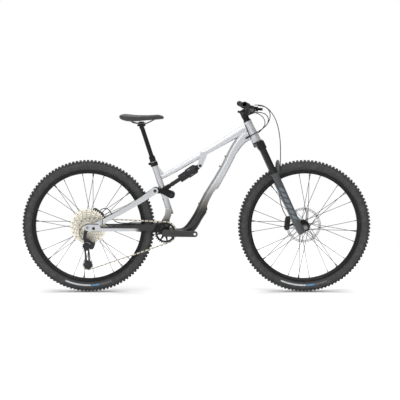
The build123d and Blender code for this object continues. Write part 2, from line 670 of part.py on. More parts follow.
def hub_shell(hub, axle, left_flange, right_flange, flange_radius, half_width, rotor_y):
    """Hollow shell with two spoke flanges and end caps."""
    bore = axle + FIT
    seat = rotor_y - ROTOR_THICKNESS / 2 - 0.05
    profile = outline((-half_width, bore), (-half_width, bore + 3), (right_flange - 4, bore + 3),
                      (right_flange - 2, 17),
                      (right_flange - 1.4, flange_radius), (right_flange + 1.4, flange_radius),
                      (right_flange + 3, 15),
                      (left_flange - 3, 15), (left_flange - 1.4, flange_radius),
                      (left_flange + 1.4, flange_radius),
                      (left_flange + 3, 19), (seat, 19), (seat, bore + 3), (half_width, bore + 3),
                      (half_width, bore))
    return wheel_part(hub, profile)


def rotor(hub, radius, plane_y, bore):
    """Wavy vented brake track on six curved arms round a bolted carrier."""
    track = Circle(radius) - Circle(radius - 15)
    waves = Sketch() + [Rot(0, 0, 20 * i) * Pos(radius + 5.2, 0) * Circle(7) for i in range(18)]
    vents = Sketch() + [Rot(0, 0, 10 * i) * Pos(radius - 7.5, 0) * Rot(0, 0, 30) * SlotOverall(9,
            3) for i in range(36)]
    carrier = Circle(32) - Circle(bore)
    bolts = Sketch() + [Rot(0, 0, 60 * i) * Pos(22, 0) * Circle(2.6) for i in range(6)]
    arms = Sketch() + [Rot(0, 0, 60 * i) * bar((27, 0), (radius - 10, 26), 5, 3.6) for i in range(6)]
    plate = (track - waves - vents) + (arms & Circle(radius - 8)) + carrier - bolts
    return slab(Pos(*hub) * plate, plane_y - ROTOR_THICKNESS / 2, plane_y + ROTOR_THICKNESS / 2)


def cassette(phase):
    """Twelve sprockets on a freehub sleeve; the driving cog lies in the chain's plane."""
    drive = COG_TEETH.index(DRIVE_COG)
    cogs = []
    for i, teeth in enumerate(COG_TEETH):
        y = CHAIN_PLANE + (drive - i) * COG_PITCH
        bore = 13 + FIT if teeth < 14 else min(17, pitch_radius(teeth) - 6) + FIT
        blank = toothed(REAR_HUB, teeth, phase if teeth == DRIVE_COG else 0, bore, y - COG_THICKNESS / 2,
                        y + COG_THICKNESS / 2)
        if teeth > 21:
            inner, outer = 20, pitch_radius(teeth) - 9
            middle, radius = (inner + outer) / 2, (outer - inner) * 0.36
            windows = Sketch() + [Rot(0, 0, 60 * k) * Pos(middle, 0) * Circle(radius) for k in range(6)]
            blank -= slab(Pos(*REAR_HUB) * windows, y - 3, y + 3)
        cogs.append(blank)
    wide = CHAIN_PLANE + (drive - 9) * COG_PITCH - COG_THICKNESS / 2
    inner_end = CHAIN_PLANE + drive * COG_PITCH + 2
    sleeve = ring(REAR_HUB, 17, 12, wide, inner_end) + ring(REAR_HUB, 13, 9.1, -70.6, wide)
    body = sleeve
    for cog in cogs:
        body += cog
    return body


# ---- fork ---------------------------------------------------------------------------------
def leg_part(profile, y):
    base = Plane(origin=steer_point(LEG_AHEAD, 0, y), x_dir=AHEAD, z_dir=(0, -1, 0))
    return revolve(base * profile, Axis(steer_point(LEG_AHEAD, 0, y), UP_AXIS))


def fork_crown():
    steerer = steer_part(outline((12, 522), (28, 522), (26, CROWN_RACE), (19.95, CROWN_RACE), (19.95, 556),
                                 (14.3, 600),
                                 (14.3, 732), (12, 732)))
    low = Plane(origin=steer_point(0, 519), x_dir=AHEAD, z_dir=UP_AXIS)
    arms = Sketch() + [bar((0, 0), (LEG_AHEAD, side * LEG_SPACING), 27, 23) for side in (1, -1)]
    body = extrude(low * arms, 21)
    for side in (1, -1):
        body += rod(steer_point(LEG_AHEAD, CROWN_UNDERSIDE, side * LEG_SPACING),
                    steer_point(LEG_AHEAD, 538, side * LEG_SPACING), 23)
    body += steerer
    for side in (1, -1):
        body -= rod(steer_point(LEG_AHEAD, 480, side * LEG_SPACING),
                    steer_point(LEG_AHEAD, 534, side * LEG_SPACING), STANCHION_RADIUS + FIT)
    return body - rod(steer_point(0, 500), steer_point(0, 760), 12)


def fork_stanchions():
    tubes = []
    for side in (1, -1):
        y = side * LEG_SPACING
        tube = rod(steer_point(LEG_AHEAD, 150, y), steer_point(LEG_AHEAD, 533.9, y), STANCHION_RADIUS, 15.3)
        cap = rod(steer_point(LEG_AHEAD, 540.2, y), steer_point(LEG_AHEAD, 546, y), 14)
        tubes += [tube, cap]
    return tubes


def fork_lowers():
    legs = outline((0, -24), (16, -24), (19.5, -16), (19.5, 140), (21.5, 300), (22.5, 344),
                   (21.5, LOWERS_TOP), (0, LOWERS_TOP))
    body = leg_part(legs, LEG_SPACING) + leg_part(legs, -LEG_SPACING)
    for y0, y1 in ((FRONT_HUB_HALF_WIDTH + 0.1, 76), (-76, -FRONT_HUB_HALF_WIDTH - 0.1)):
        body += slab(bar((LEG_AHEAD, 6), (FORK_OFFSET, 0), 17, 16), y0, y1, STEER)
    arch = [(18, 62, 318), (42, 58, 358), (56, 42, 386), (61, 15, 394), (61, -15, 394), (56, -42, 386),
            (42, -58, 358),
            (18, -62, 318)]
    for a, b in zip(arch, arch[1:]):
        start, end = steer_point(a[0], a[2], a[1]), steer_point(b[0], b[2], b[1])
        body += rod(start, end, 8.5) + Pos(*start) * Sphere(8.5) + Pos(*end) * Sphere(8.5)
    body += slab(bar((2, 30), (-27, 28), 6, 5.5) + bar((2, 72), (-1.2, 72), 5.5, 5.5), 49, 57, STEER)
    for side in (1, -1):
        y = side * LEG_SPACING
        body -= rod(steer_point(LEG_AHEAD, 4, y), steer_point(LEG_AHEAD, 360, y), STANCHION_RADIUS + FIT)
    return body - disc((FORK_OFFSET, 0), AXLE_RADIUS["front"] + FIT, -90, 90, STEER)


def front_axle():
    body = disc(FRONT_HUB, AXLE_RADIUS["front"], -78, 76)
    return body + disc(FRONT_HUB, 10.5, -81, -76.2)


def caliper(hub, bearing_angle, rotor_radius, plane_y, y0, y1, plane=SIDE):
    """Two-piston caliper over the rotor's edge, with its pads."""
    points = []
    for turn in (-15, 15):
        a = radians(bearing_angle + turn)
        points.append((hub[0] + (rotor_radius - 4) * cos(a), hub[1] + (rotor_radius - 4) * sin(a)))
    body = slab(bar(points[0], points[1], 15, 15), y0, y1, plane)
    body -= disc(hub, rotor_radius + 4, plane_y - 4, plane_y + 4, plane)
    pads = []
    pad_outline = bar(points[0], points[1], 8, 8)
    for low, high in ((1.4, 3.8), (-3.8, -1.4)):
        pads.append(slab(pad_outline & (Pos(*hub) * Circle(rotor_radius)), plane_y + low, plane_y + high,
                         plane))
    return [body] + pads


# ---- cockpit ------------------------------------------------------------------------------
CLAMP_CENTRE = steer_point(STEM_REACH, STEM_CENTRE)


def bar_point(y, drop=0.0, ahead=0.0):
    """A point beside the handlebar's outer straight, at a given Y."""
    side = 1 if y > 0 else -1
    out = abs(y) - 115
    x = CLAMP_CENTRE.X - 10 - out * sin(radians(BAR_BACKSWEEP)) / cos(radians(BAR_BACKSWEEP))
    z = CLAMP_CENTRE.Z + 13 + out * sin(radians(BAR_UPSWEEP)) / cos(radians(BAR_UPSWEEP))
    return Vector(x + ahead, side * abs(y), z - drop)


def handlebar():
    inner = [CLAMP_CENTRE + Vector(0, y, 0) for y in (-40, 40)]
    points = [bar_point(-BAR_HALF_WIDTH), bar_point(-115), inner[0], inner[1], bar_point(115),
              bar_point(BAR_HALF_WIDTH)]
    path = FilletPolyline(*points, radius=60)
    section = Plane(origin=points[0], z_dir=points[1] - points[0])
    tube = sweep(section * Circle(BAR_RADIUS), path=path) - sweep(section * Circle(BAR_RADIUS - 2), path=path)
    sleeve = rod(CLAMP_CENTRE - Vector(0, 32, 0), CLAMP_CENTRE + Vector(0, 32, 0), CLAMP_RADIUS,
                 BAR_RADIUS - 1)
    return tube + sleeve


def along_bar(y0, y1, radius, inner=0.0):
    return rod(bar_point(y0), bar_point(y1), radius, inner)


def grips():
    pieces = []
    for side in (1, -1):
        far, near = side * (BAR_HALF_WIDTH + 2), side * (BAR_HALF_WIDTH - GRIP_LENGTH)
        pieces.append(along_bar(near, far, GRIP_RADIUS, BAR_RADIUS + FIT) + along_bar(near, near + side * 8,
                GRIP_RADIUS + 2, BAR_RADIUS + FIT))
    return pieces


def stem():
    clamp = rod(steer_point(0, STEM_CENTRE - 21), steer_point(0, STEM_CENTRE + 20), 19.5)
    body = clamp + disc((STEM_REACH, STEM_CENTRE), 20.5, -24, 24, STEER)
    body += slab(outline((0, 697), (46, 696), (46, 734), (0, 732)), -17, 17, STEER)
    body -= slab(outline((STEM_REACH + 1, 680), (90, 680), (90, 750), (STEM_REACH + 1, 750)), -40, 40, STEER)
    body -= disc((STEM_REACH, STEM_CENTRE), CLAMP_RADIUS + FIT, -60, 60, STEER)
    body -= rod(steer_point(0, 680), steer_point(0, 750), 14.3 + FIT)
    plate = disc((STEM_REACH, STEM_CENTRE), 20.5, -24, 24, STEER)
    plate &= slab(outline((STEM_REACH + 2, 680), (90, 680), (90, 750), (STEM_REACH + 2, 750)), -40, 40, STEER)
    plate -= disc((STEM_REACH, STEM_CENTRE), CLAMP_RADIUS + FIT, -60, 60, STEER)
    bolts = []
    for y in (-19, 19):
        for t in (STEM_CENTRE - 18.3, STEM_CENTRE + 18.3):
            bolts.append(rod(steer_point(STEM_REACH + 9, t, y), steer_point(STEM_REACH + 14, t, y), 3.6))
    return [body, plate] + [b - plate for b in bolts]


def headset_spacers():
    cover = steer_part(outline((14.4, 671.8), (21.5, 671.8), (20, 678), (14.4, 678)))
    spacer = steer_part(outline((14.4, 678.2), (18, 678.2), (18, 693.8), (14.4, 693.8)))
    cap = steer_part(outline((0, 735.2), (18.5, 735.2), (17, 739), (5, 740.5), (0, 740.5)))
    return [cover, spacer, cap]


LEVER_PIVOT_Y = 222.0


def brake_clamps():
    """Master cylinders with their bar clamps."""
    pieces = []
    for side in (1, -1):
        low, high = bar_point(side * 243), bar_point(side * 229)
        clamp = rod(low, high, 15.5)
        front = Vector(26, 0, -4)
        body = rod(bar_point(side * 196) + front, bar_point(side * 246) + front, 9.5)
        body += rod(bar_point(side * 230) + Vector(12, 0, -2), bar_point(side * 242) + Vector(12, 0, -2), 10)
        ear = lever_pivot(side)
        body += rod(ear + Vector(0, 0, 13), ear + Vector(0, 0, 7.3), 8)
        body += rod(ear + Vector(0, 0, -7.3), ear + Vector(0, 0, -13), 8)
        body += rod(ear + Vector(-11.2, 0, 13), ear + Vector(-11.2, 0, -13), 4)
        whole = clamp + body
        whole -= rod(bar_point(side * 190), bar_point(side * 260), BAR_RADIUS + FIT)
        whole -= rod(ear + Vector(0, 0, 14), ear + Vector(0, 0, -14), 2.5 + FIT)
        pieces.append(whole)
    return pieces


def lever_pivot(side):
    return bar_point(side * LEVER_PIVOT_Y) + Vector(46, 0, -12)


def brake_lever(side):
    """Blade that starts at the pivot, runs ahead of the grip and ends in a rounded tip."""
    pivot = lever_pivot(side)
    points = [(0, 0), (14, side * 10), (26, side * 30), (24, side * 62), (17, side * 92)]
    radii = [6.5, 5.5, 5, 5, 6]
    sketch = chain_of_bars(points, radii)
    base = Plane(origin=pivot - Vector(0, 0, 6.8), x_dir=(1, 0, 0), z_dir=(0, 0, 1))
    blade = extrude(base * sketch, 13.6)
    pin = rod(pivot + Vector(0, 0, 13), pivot - Vector(0, 0, 13), 2.5)
    return blade + pin


def shifter_body():
    pieces = []
    for side in (1, -1):
        band = along_bar(side * 206, side * 216, 15, BAR_RADIUS + FIT)
        pod_low = bar_point(side * 198) + Vector(-6, 0, -27)
        pod_high = bar_point(side * 222) + Vector(-6, 0, -27)
        pod = rod(pod_low, pod_high, 12) + rod(bar_point(side * 211) + Vector(-1, 0, -14),
                                               bar_point(side * 211) + Vector(-5, 0, -20), 5)
        pod -= rod(bar_point(side * 190), bar_point(side * 240), BAR_RADIUS + FIT)
        pieces.append(band + pod)
    return pieces


def thumb_pivot(side):
    return bar_point(side * 225.6) + Vector(-8, 0, -30)


def thumb_lever(side):
    """Paddle on the outboard face of its pod, reaching back under the bar."""
    pivot = thumb_pivot(side)
    across = Plane(origin=pivot - Vector(0, side * 1.2, 0), x_dir=(1, 0, 0), z_dir=(0, side, 0))
    hub = extrude(across * Circle(7), 6)
    arm = rod(pivot + Vector(0, side * 5, 0), pivot + Vector(-24, side * 16, -4), 3.6)
    pad = rod(pivot + Vector(-24, side * 10, -4), pivot + Vector(-26, side * 28, -3), 7)
    return hub + arm + pad


# ---- cables -------------------------------------------------------------------------------
def cord(name, points, radius):
    """Straight runs joined by tangent arcs as large as the two runs allow."""
    route = [Vector(*p) for p in points]
    radii = []
    for a, b, c in zip(route, route[1:], route[2:]):
        shorter = min((b - a).length, (c - b).length)
        turn = radians((b - a).get_angle(c - b))
        radii.append(0.45 * shorter / sin(turn / 2) * cos(turn / 2))
    path = FilletPolyline(*route, radius=radii)
    tube = sweep(Plane(origin=route[0], z_dir=route[1] - route[0]) * Circle(radius), path=path)
    print(name, "radii", [round(r) for r in radii], "length", round(path.length),
          "volume ratio", round(tube.volume / (pi * radius**2 * path.length), 4))
    return tube


# Cable routes, point by point, in millimetres
FRONT_BRAKE_ROUTE = [
    (334, 188, 1050), (362, 166, 1052), (392, 140, 1042), (420, 112, 1018), (443, 88, 982), (458, 68, 940),
    (467, 54, 896), (472, 46, 850), (474, 41, 804), (474, 39, 758), (472.5, 38.6, 714), (470.5, 38.6, 670),
    (468.5, 38.8, 628), (467.5, 39.2, 588), (469, 40, 548), (474, 41, 512), (482, 42.4, 479),
    (494, 43.4, 449),
    (510, 44, 421.8),
]
REAR_BRAKE_BAR_ROUTE = [
    (334, -186, 1050), (360, -160, 1048), (384, -128, 1038), (401, -92, 1020), (409, -56, 996),
    (407, -22, 970),
    (395, 4, 944), (374, 20, 922), (348, 30, 904), (322, 30.5, 890), (297, 28, 877),
]
SHIFT_ROUTE = [
    (306, -186, 1012), (336, -168, 1014), (364, -144, 1010), (388, -114, 996), (398, -82, 974),
    (394, -56, 948),
    (374, -40, 926), (348, -33, 908), (322, -30, 893), (297, -28, 879),
]
DROPPER_ROUTE = [
    (306, 186, 1012), (336, 168, 1008), (364, 142, 996), (384, 110, 976), (390, 80, 950), (378, 56, 924),
    (354, 40, 900), (326, 32, 880), (299, 28, 863),
]
REAR_BRAKE_ROUTE = [
    (-258, 41.5, 389), (-290, 45, 387), (-330, 49.5, 385.6), (-372, 54, 383.4), (-412, 58.4, 382),
    (-446, 61, 384),
    (-468, 61, 396), (-478, 61, 418), (-485, 61, 440), (-496, 61, 458), (-514, 60.6, 467), (-533, 60, 466),
    (-548, 60, 453.6),
]
DERAILLEUR_ROUTE = [
    (-545, -83.6, 392), (-570, -86.5, 393), (-598, -90, 395), (-624, -93, 389), (-643, -93.5, 370),
    (-650, -92, 344),
    (-644, -88, 320), (-632, -84, 306),
]
PORT_SKINS = (21.7, 21.7, 20.2)


def frame_cables():
    return [cord("rear_brake_at_bar", REAR_BRAKE_BAR_ROUTE, HOSE_RADIUS),
            cord("shift_housing", SHIFT_ROUTE, HOSE_RADIUS),
            cord("dropper_housing", DROPPER_ROUTE, HOSE_RADIUS)]


def cable_ports():
    """Hooded grommets on the frame's skin; each housing butts against its hood."""
    pieces = []
    beside = outline((0, 600), (600, 600), (600, 1100), (0, 1100))
    for route, skin in zip((REAR_BRAKE_BAR_ROUTE, SHIFT_ROUTE, DROPPER_ROUTE), PORT_SKINS):
        end, before = Vector(*route[-1]), Vector(*route[-2])
        along = (end - before).normalized()
        pieces.append(rod(end, end + along * 26, 5.4) - slab(beside, -skin, skin))
    return pieces


# ---- seatpost and saddle ------------------------------------------------------------------
POST_TOP_Z = SEAT_TUBE_TOP[1] + (COLLAR_LENGTH + 1 + POST_EXPOSED) * sin(radians(SEAT_ANGLE))
SADDLE_CLAMP = (-307.0, 950.0)


def seatpost():
    """Sliding stanchion with the saddle head on top."""
    top = seat_axis_point(POST_TOP_Z - 6)
    collar_top = seat_axis_point(736.6) + SEAT_UP * COLLAR_LENGTH
    bottom = collar_top - SEAT_UP * 70
    tube = rod(bottom, top, POST_RADIUS, POST_RADIUS - 2)
    head = slab(bar((top.X - 1, top.Z), (SADDLE_CLAMP[0], SADDLE_CLAMP[1] - 9), 13, 8), -14, 14)
    head += slab(bar((SADDLE_CLAMP[0] - 17, SADDLE_CLAMP[1] - 10),
                     (SADDLE_CLAMP[0] + 17, SADDLE_CLAMP[1] - 10), 6, 6), -24, 24)
    for side in (1, -1):
        groove = rod((SADDLE_CLAMP[0] - 60, side * 22, SADDLE_CLAMP[1] + 0.3),
                     (SADDLE_CLAMP[0] + 60, side * 22, SADDLE_CLAMP[1] + 0.3), 3.8)
        head -= groove
    plate = slab(outline((SADDLE_CLAMP[0] - 16, SADDLE_CLAMP[1] + 3.9),
                         (SADDLE_CLAMP[0] + 16, SADDLE_CLAMP[1] + 3.9),
                         (SADDLE_CLAMP[0] + 13, SADDLE_CLAMP[1] + 10),
                         (SADDLE_CLAMP[0] - 13, SADDLE_CLAMP[1] + 10)), -27, 27)
    bolts = [rod((SADDLE_CLAMP[0] + dx, 0, SADDLE_CLAMP[1] - 3.6),
                 (SADDLE_CLAMP[0] + dx, 0, SADDLE_CLAMP[1] + 3.8), 2.5) for dx in (-12, 12)]
    return [tube + (head - rod(bottom, top, POST_RADIUS)), plate] + bolts


RAIL_ROUTE = [(-372, 34, 968), (-352, 29, 954), (-330, 22, 950), (-278, 22, 950), (-252, 19, 962),
              (-226, 11, 976)]


def saddle_rails():
    rails = []
    for side in (1, -1):
        points = [(x, side * y, z + 0.3) for x, y, z in RAIL_ROUTE]
        path = FilletPolyline(*points, radius=14)
        rails.append(sweep(Plane(origin=points[0],
                                 z_dir=Vector(*points[1]) - Vector(*points[0])) * Circle(3.5), path=path))
    return rails


SADDLE_SECTIONS = [
    (-428, 56, 990, 8), (-415, 68, 986, 14), (-385, 71, 982, 17), (-345, 62, 980, 16), (-305, 42, 981, 14),
    (-260, 26, 983, 12.5), (-215, 20, 985, 11), (-180, 15, 982, 7),
]


def saddle():
    """Plain closed pad: a loft of rounded sections from tail to nose."""
    faces = []
    for x, half, z, depth in SADDLE_SECTIONS:
        plane = Plane(origin=(x, 0, z), x_dir=(0, 1, 0), z_dir=(1, 0, 0))
        faces.append(plane * RectangleRounded(2 * half, 2 * depth, 0.8 * depth))
    pad = loft(faces)
    for rail in saddle_rails():
        pad -= rail
    return pad


# ---- derailleur ---------------------------------------------------------------------------
HANGER_BOLT = (-617.6, 347.9)
CAGE_PIVOT = (-583.0, 264.0)


def derailleur_hanger():
    plate = slab(bar(REAR_HUB, HANGER_BOLT, 14.5, 9), -73.7, -70.8)
    return plate - disc(REAR_HUB, 9.6, -80, -60) - disc(HANGER_BOLT, 4 + FIT, -80, -60)


def derailleur_body():
    """Upper knuckle, two links of the parallelogram and the lower knuckle."""
    knuckle = slab(bar(HANGER_BOLT, (-621, 316), 8.5, 9), -90, -74) + disc(HANGER_BOLT, 4, -75, -71)
    knuckle += slab(bar((-621, 316), (-618, 300), 9, 8), -92, -72)
    outer = slab(bar((-606, 303), (-583, 288), 8, 7), -92, -87)
    inner = slab(bar((-606, 303), (-583, 288), 8, 7), -77, -72)
    lower = slab(bar((-572, 281), CAGE_PIVOT, 8, 12), -91, -54.5)
    knuckle -= slab(bar((-606, 303), (-583, 288), 8 + GAP, 7 + GAP), -100, -60)
    lower -= slab(bar((-606, 303), (-583, 288), 8 + GAP, 7 + GAP), -100, -60)
    lower -= disc(CAGE_PIVOT, 4 + FIT, -80, -50)
    pins = [rod((-609, -91, 305), (-609, -73, 305), 2.5), rod((-580, -91, 286), (-580, -73, 286), 2.5)]
    links = [outer - pins[0] - pins[1], inner - pins[0] - pins[1]]
    return [knuckle - pins[0], lower - pins[1]] + links + pins


def derailleur_cage(tension):
    outer = chain_of_bars([CAGE_PIVOT, GUIDE_PULLEY, tension], [11, 13, 14])
    inner = bar(GUIDE_PULLEY, tension, 13, 14)
    windows = bar((GUIDE_PULLEY[0] + 3, GUIDE_PULLEY[1] - 28), (tension[0] - 3, tension[1] + 30), 5, 5)
    plates = [slab(outer - windows, CHAIN_PLANE - 6.6, CHAIN_PLANE - 4.6),
              slab(inner - windows, CHAIN_PLANE + 4.6, CHAIN_PLANE + 6.2)]
    bolts = [disc(CAGE_PIVOT, 4, -76, CHAIN_PLANE - 6.6)]
    for centre in (GUIDE_PULLEY, tension):
        bolts.append(disc(centre, 3, CHAIN_PLANE - 7.6, CHAIN_PLANE + 6.6))
        plates = [plate - disc(centre, 3 + FIT, -80, -20) for plate in plates]
    return plates + bolts


def pulley(centre, teeth, phase):
    body = toothed(centre, teeth, phase, 3 + FIT, CHAIN_PLANE - 1.1, CHAIN_PLANE + 1.1, 1.5)
    body += ring(centre, 8, 3 + FIT, CHAIN_PLANE - 4.3, CHAIN_PLANE + 4.3)
    return body


# ---- everything ---------------------------------------------------------------------------
def main():
    os.makedirs("parts", exist_ok=True)
    cage_angle, rollers = closed_chain()
    tension = tension_centre(cage_angle)
    print("links", len(rollers), "cage angle", round(cage_angle, 3), "tension pulley", tension)

    save("front_frame", front_frame())
    save("frame_bearings", frame_bearings())
    save("frame_axles", frame_axles())
    save("seat_clamp", seat_clamp())
    save("dropper_outer", dropper_outer())
    save("cable_ports", cable_ports())
    save("bottle_bolts", bottle_bolts())
    save("down_tube_guard", down_tube_guard())
    save("chain", chain(cage_angle, rollers))

    save("crank_arm_right", crank_arm_right())
    save("crank_arm_left", crank_arm_left())
    save("chainring", chainring(phase_of(BOTTOM_BRACKET, CHAINRING_TEETH, rollers)))

    save("chainstays", chainstays())
    save("chainstay_bearings", chainstay_bearings())
    save("chainstay_guard", chainstay_guard())

    save("seatstays", seatstay(1), seatstay(-1))
    save("rear_axle", rear_axle())
    save("stay_bolts", stay_bolts())
    save("rear_caliper", caliper(REAR_HUB, 54, REAR_ROTOR_RADIUS, 58.5, 46, 71))
    save("rear_brake_hose", cord("rear_brake_hose", REAR_BRAKE_ROUTE, HOSE_RADIUS))
    save("derailleur_housing", cord("derailleur_housing", DERAILLEUR_ROUTE, 2.2))
    save("derailleur_body", derailleur_body() + [derailleur_hanger()])
    save("derailleur_cage", derailleur_cage(tension))
    save("guide_pulley", pulley(GUIDE_PULLEY, GUIDE_TEETH, phase_of(GUIDE_PULLEY, GUIDE_TEETH, rollers)))
    save("tension_pulley", pulley(tension, TENSION_TEETH, phase_of(tension, TENSION_TEETH, rollers)))

    save("rocker", rocker())
    save("shock_can", shock_can())
    save("shock_shaft", shock_shaft())
    save("shock_yoke", shock_yoke())

    save("cassette", cassette(phase_of(REAR_HUB, DRIVE_COG, rollers)))
    wheels = (
        ("rear", REAR_HUB, 34, -21, 29, REAR_HUB_HALF_WIDTH, REAR_ROTOR_RADIUS, 58.5),
        ("front", FRONT_HUB, 27, -31, 29, FRONT_HUB_HALF_WIDTH, FRONT_ROTOR_RADIUS, 43.5),
    )
    for name, hub, left, right, flange, half, rotor_radius, rotor_y in wheels:
        save(f"{name}_tyre", tyre(hub))
        save(f"{name}_rim", rim(hub))
        save(f"{name}_spokes", spokes(hub, flange - 3, (left, right)))
        save(f"{name}_hub", hub_shell(hub, AXLE_RADIUS[name], left, right, flange, half, rotor_y))
        save(f"{name}_rotor", rotor(hub, rotor_radius, rotor_y, AXLE_RADIUS[name] + 3 + 3 * FIT))

    save("fork_crown", fork_crown())
    save("fork_stanchions", fork_stanchions())
    save("headset_spacers", headset_spacers())
    save("stem", stem())
    save("handlebar", handlebar())
    save("grips", grips())
    save("brake_clamps", brake_clamps())
    save("shifter_body", shifter_body())
    save("brake_lever_right", brake_lever(-1))
    save("brake_lever_left", brake_lever(1))
    save("shift_lever", thumb_lever(-1))
    save("dropper_lever", thumb_lever(1))
    save("frame_cables", frame_cables())
    save("front_brake_hose", cord("front_brake_hose", FRONT_BRAKE_ROUTE, HOSE_RADIUS))

    front_caliper = caliper((FORK_OFFSET, 0), 148.4, FRONT_ROTOR_RADIUS, 43.5, 30, 57, STEER)
    save("fork_lowers", fork_lowers() - front_caliper[0])
    save("front_axle", front_axle())
    save("front_caliper", front_caliper)

    save("seatpost", seatpost())
    save("saddle_rails", saddle_rails())
    save("saddle", saddle())


main()
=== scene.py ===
# %% [markdown]
# # A full-suspension mountain bike
# The metal skeleton of the bike comes from CAD and is already in place: tubes, links, hubs, axles and bolts.
# This lesson dresses it. It gives every CAD part a finish, and it makes the parts that CAD is poor at:
# knobbly tyres, a roller chain, ribbed grips, a padded saddle and hoses that hang in free curves.
# Everything stays in metres, +X forward and +Z up, with the drivetrain on the -Y side.

# %% Load the frame
import json
import math

import bmesh
import bpy
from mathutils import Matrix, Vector

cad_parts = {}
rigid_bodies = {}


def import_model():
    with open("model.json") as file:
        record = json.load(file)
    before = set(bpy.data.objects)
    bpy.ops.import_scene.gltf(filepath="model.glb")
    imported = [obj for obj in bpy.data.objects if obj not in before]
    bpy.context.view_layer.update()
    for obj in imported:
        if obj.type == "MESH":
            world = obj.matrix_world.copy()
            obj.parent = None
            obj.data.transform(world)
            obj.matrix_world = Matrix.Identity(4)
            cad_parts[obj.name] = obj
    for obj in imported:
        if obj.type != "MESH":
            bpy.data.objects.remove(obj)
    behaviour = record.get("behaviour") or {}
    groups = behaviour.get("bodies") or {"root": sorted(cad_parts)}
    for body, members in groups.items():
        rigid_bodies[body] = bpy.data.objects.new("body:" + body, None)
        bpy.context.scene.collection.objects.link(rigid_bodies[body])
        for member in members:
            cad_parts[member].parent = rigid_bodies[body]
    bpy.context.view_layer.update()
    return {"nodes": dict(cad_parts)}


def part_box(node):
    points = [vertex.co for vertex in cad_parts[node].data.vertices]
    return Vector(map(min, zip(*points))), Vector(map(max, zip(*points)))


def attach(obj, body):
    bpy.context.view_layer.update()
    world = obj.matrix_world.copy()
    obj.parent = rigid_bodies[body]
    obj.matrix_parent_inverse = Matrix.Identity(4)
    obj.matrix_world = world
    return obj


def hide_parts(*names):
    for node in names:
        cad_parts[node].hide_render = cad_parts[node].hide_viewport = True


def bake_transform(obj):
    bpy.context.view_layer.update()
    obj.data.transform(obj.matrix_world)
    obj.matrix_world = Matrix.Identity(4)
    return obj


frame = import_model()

scene = bpy.context.scene
nodes = frame["nodes"]
HUBS = {"front": (0.607, 0.373), "rear": (-0.607, 0.373)}

# %% [markdown]
# ## A short way to write shader maths
# A material is a graph of nodes. Wiring each one by hand takes a page, so two small classes do it.
# A Wire is one output socket that can be added, multiplied or compared as a number would be.
# A Finish is one material: its `node` method makes any node, sets it up and feeds its sockets.


# %% Wire and Finish
class Wire:
    """One output of a shader node, which takes part in sums."""

    def __init__(self, finish, socket):
        self.finish = finish
        self.socket = socket

    def __add__(self, other):
        return self.finish.maths("ADD", self, other)

    def __radd__(self, other):
        return self.finish.maths("ADD", other, self)

    def __sub__(self, other):
        return self.finish.maths("SUBTRACT", self, other)

    def __rsub__(self, other):
        return self.finish.maths("SUBTRACT", other, self)

    def __mul__(self, other):
        return self.finish.maths("MULTIPLY", self, other)

    def __rmul__(self, other):
        return self.finish.maths("MULTIPLY", other, self)

    def power(self, exponent):
        return self.finish.maths("POWER", self, exponent)

    def size(self):
        return self.finish.maths("ABSOLUTE", self)

    def fade(self, low, high):
        """0 below low, 1 above high, smooth between; swap them to turn it round."""
        return self.finish.node(
            "ShaderNodeMapRange", {"interpolation_type": "SMOOTHSTEP"},
            {0: self, 1: low, 2: high, 3: 0.0, 4: 1.0},
        )


class Finish:
    """One material, with its shader's plain values set on the shader's own sockets."""

    def __init__(self, name, **values):
        self.material = bpy.data.materials.new(name)
        self.material.use_nodes = True
        self.tree = self.material.node_tree
        self.shader = self.tree.nodes["Principled BSDF"]
        self.surface(**values)

    def node(self, kind, settings, sockets, output=0):
        made = self.tree.nodes.new(kind)
        for key, value in settings.items():
            setattr(made, key, value)
        for key, value in sockets.items():
            self.feed(made.inputs[key], value)
        return Wire(self, made.outputs[output])

    def maths(self, operation, *terms):
        return self.node("ShaderNodeMath", {"operation": operation}, dict(enumerate(terms)))

    def feed(self, socket, value):
        if isinstance(value, Wire):
            self.tree.links.new(value.socket, socket)
        elif hasattr(socket.default_value, "__len__") and len(socket.default_value) == 4:
            socket.default_value = (*value[:3], 1)
        else:
            socket.default_value = value

    def surface(self, **values):
        for label, value in values.items():
            self.feed(self.shader.inputs[label.replace("_", " ")], value)
        return self

    def place(self):
        """Point on the piece, in metres, in the bike's own axes."""
        return self.node("ShaderNodeTexCoord", {}, {}, "Object")

    def axes(self, point):
        return [self.node("ShaderNodeSeparateXYZ", {}, {0: point}, axis) for axis in "XYZ"]

    def stretch(self, point, scale):
        return self.node("ShaderNodeVectorMath", {"operation": "MULTIPLY"}, {0: point, 1: scale})

    def noise(self, point, scale, detail=3.0, rough=0.55):
        return self.node(
            "ShaderNodeTexNoise", {},
            {"Vector": point, "Scale": scale, "Detail": detail, "Roughness": rough}, "Fac",
        )

    def cells(self, point, scale, feature="F1"):
        return self.node(
            "ShaderNodeTexVoronoi", {"feature": feature}, {"Vector": point, "Scale": scale}, "Distance",
        )

    def mix(self, mask, low, high):
        return self.node("ShaderNodeMix", {"data_type": "RGBA"}, {0: mask, 6: low, 7: high}, 2)

    def from_hub(self, point, hub):
        """The point measured from an axle that lies along Y."""
        return self.node("ShaderNodeVectorMath", {"operation": "SUBTRACT"}, {0: point, 1: (hub[0], 0, hub[1])})

    def bump(self, height, depth, strength=1.0):
        made = self.node("ShaderNodeBump", {}, {"Height": height, "Distance": depth, "Strength": strength})
        return self.surface(Normal=made)


print("shader helpers ready")

# %% [markdown]
# ## Metals and paint
# Bare metal, anodised metal and paint differ mostly in how sharply they reflect. Each finish starts from a
# roughness, then gets fine grain from noise, and a little wear or handling that changes colour and roughness
# together. The frame is painted in satin silver that fades to charcoal near the bottom bracket.


# %% Frame paint
SILVER = (0.52, 0.532, 0.548)
CHARCOAL = (0.030, 0.029, 0.029)
WARM_GREY = (0.165, 0.150, 0.135)


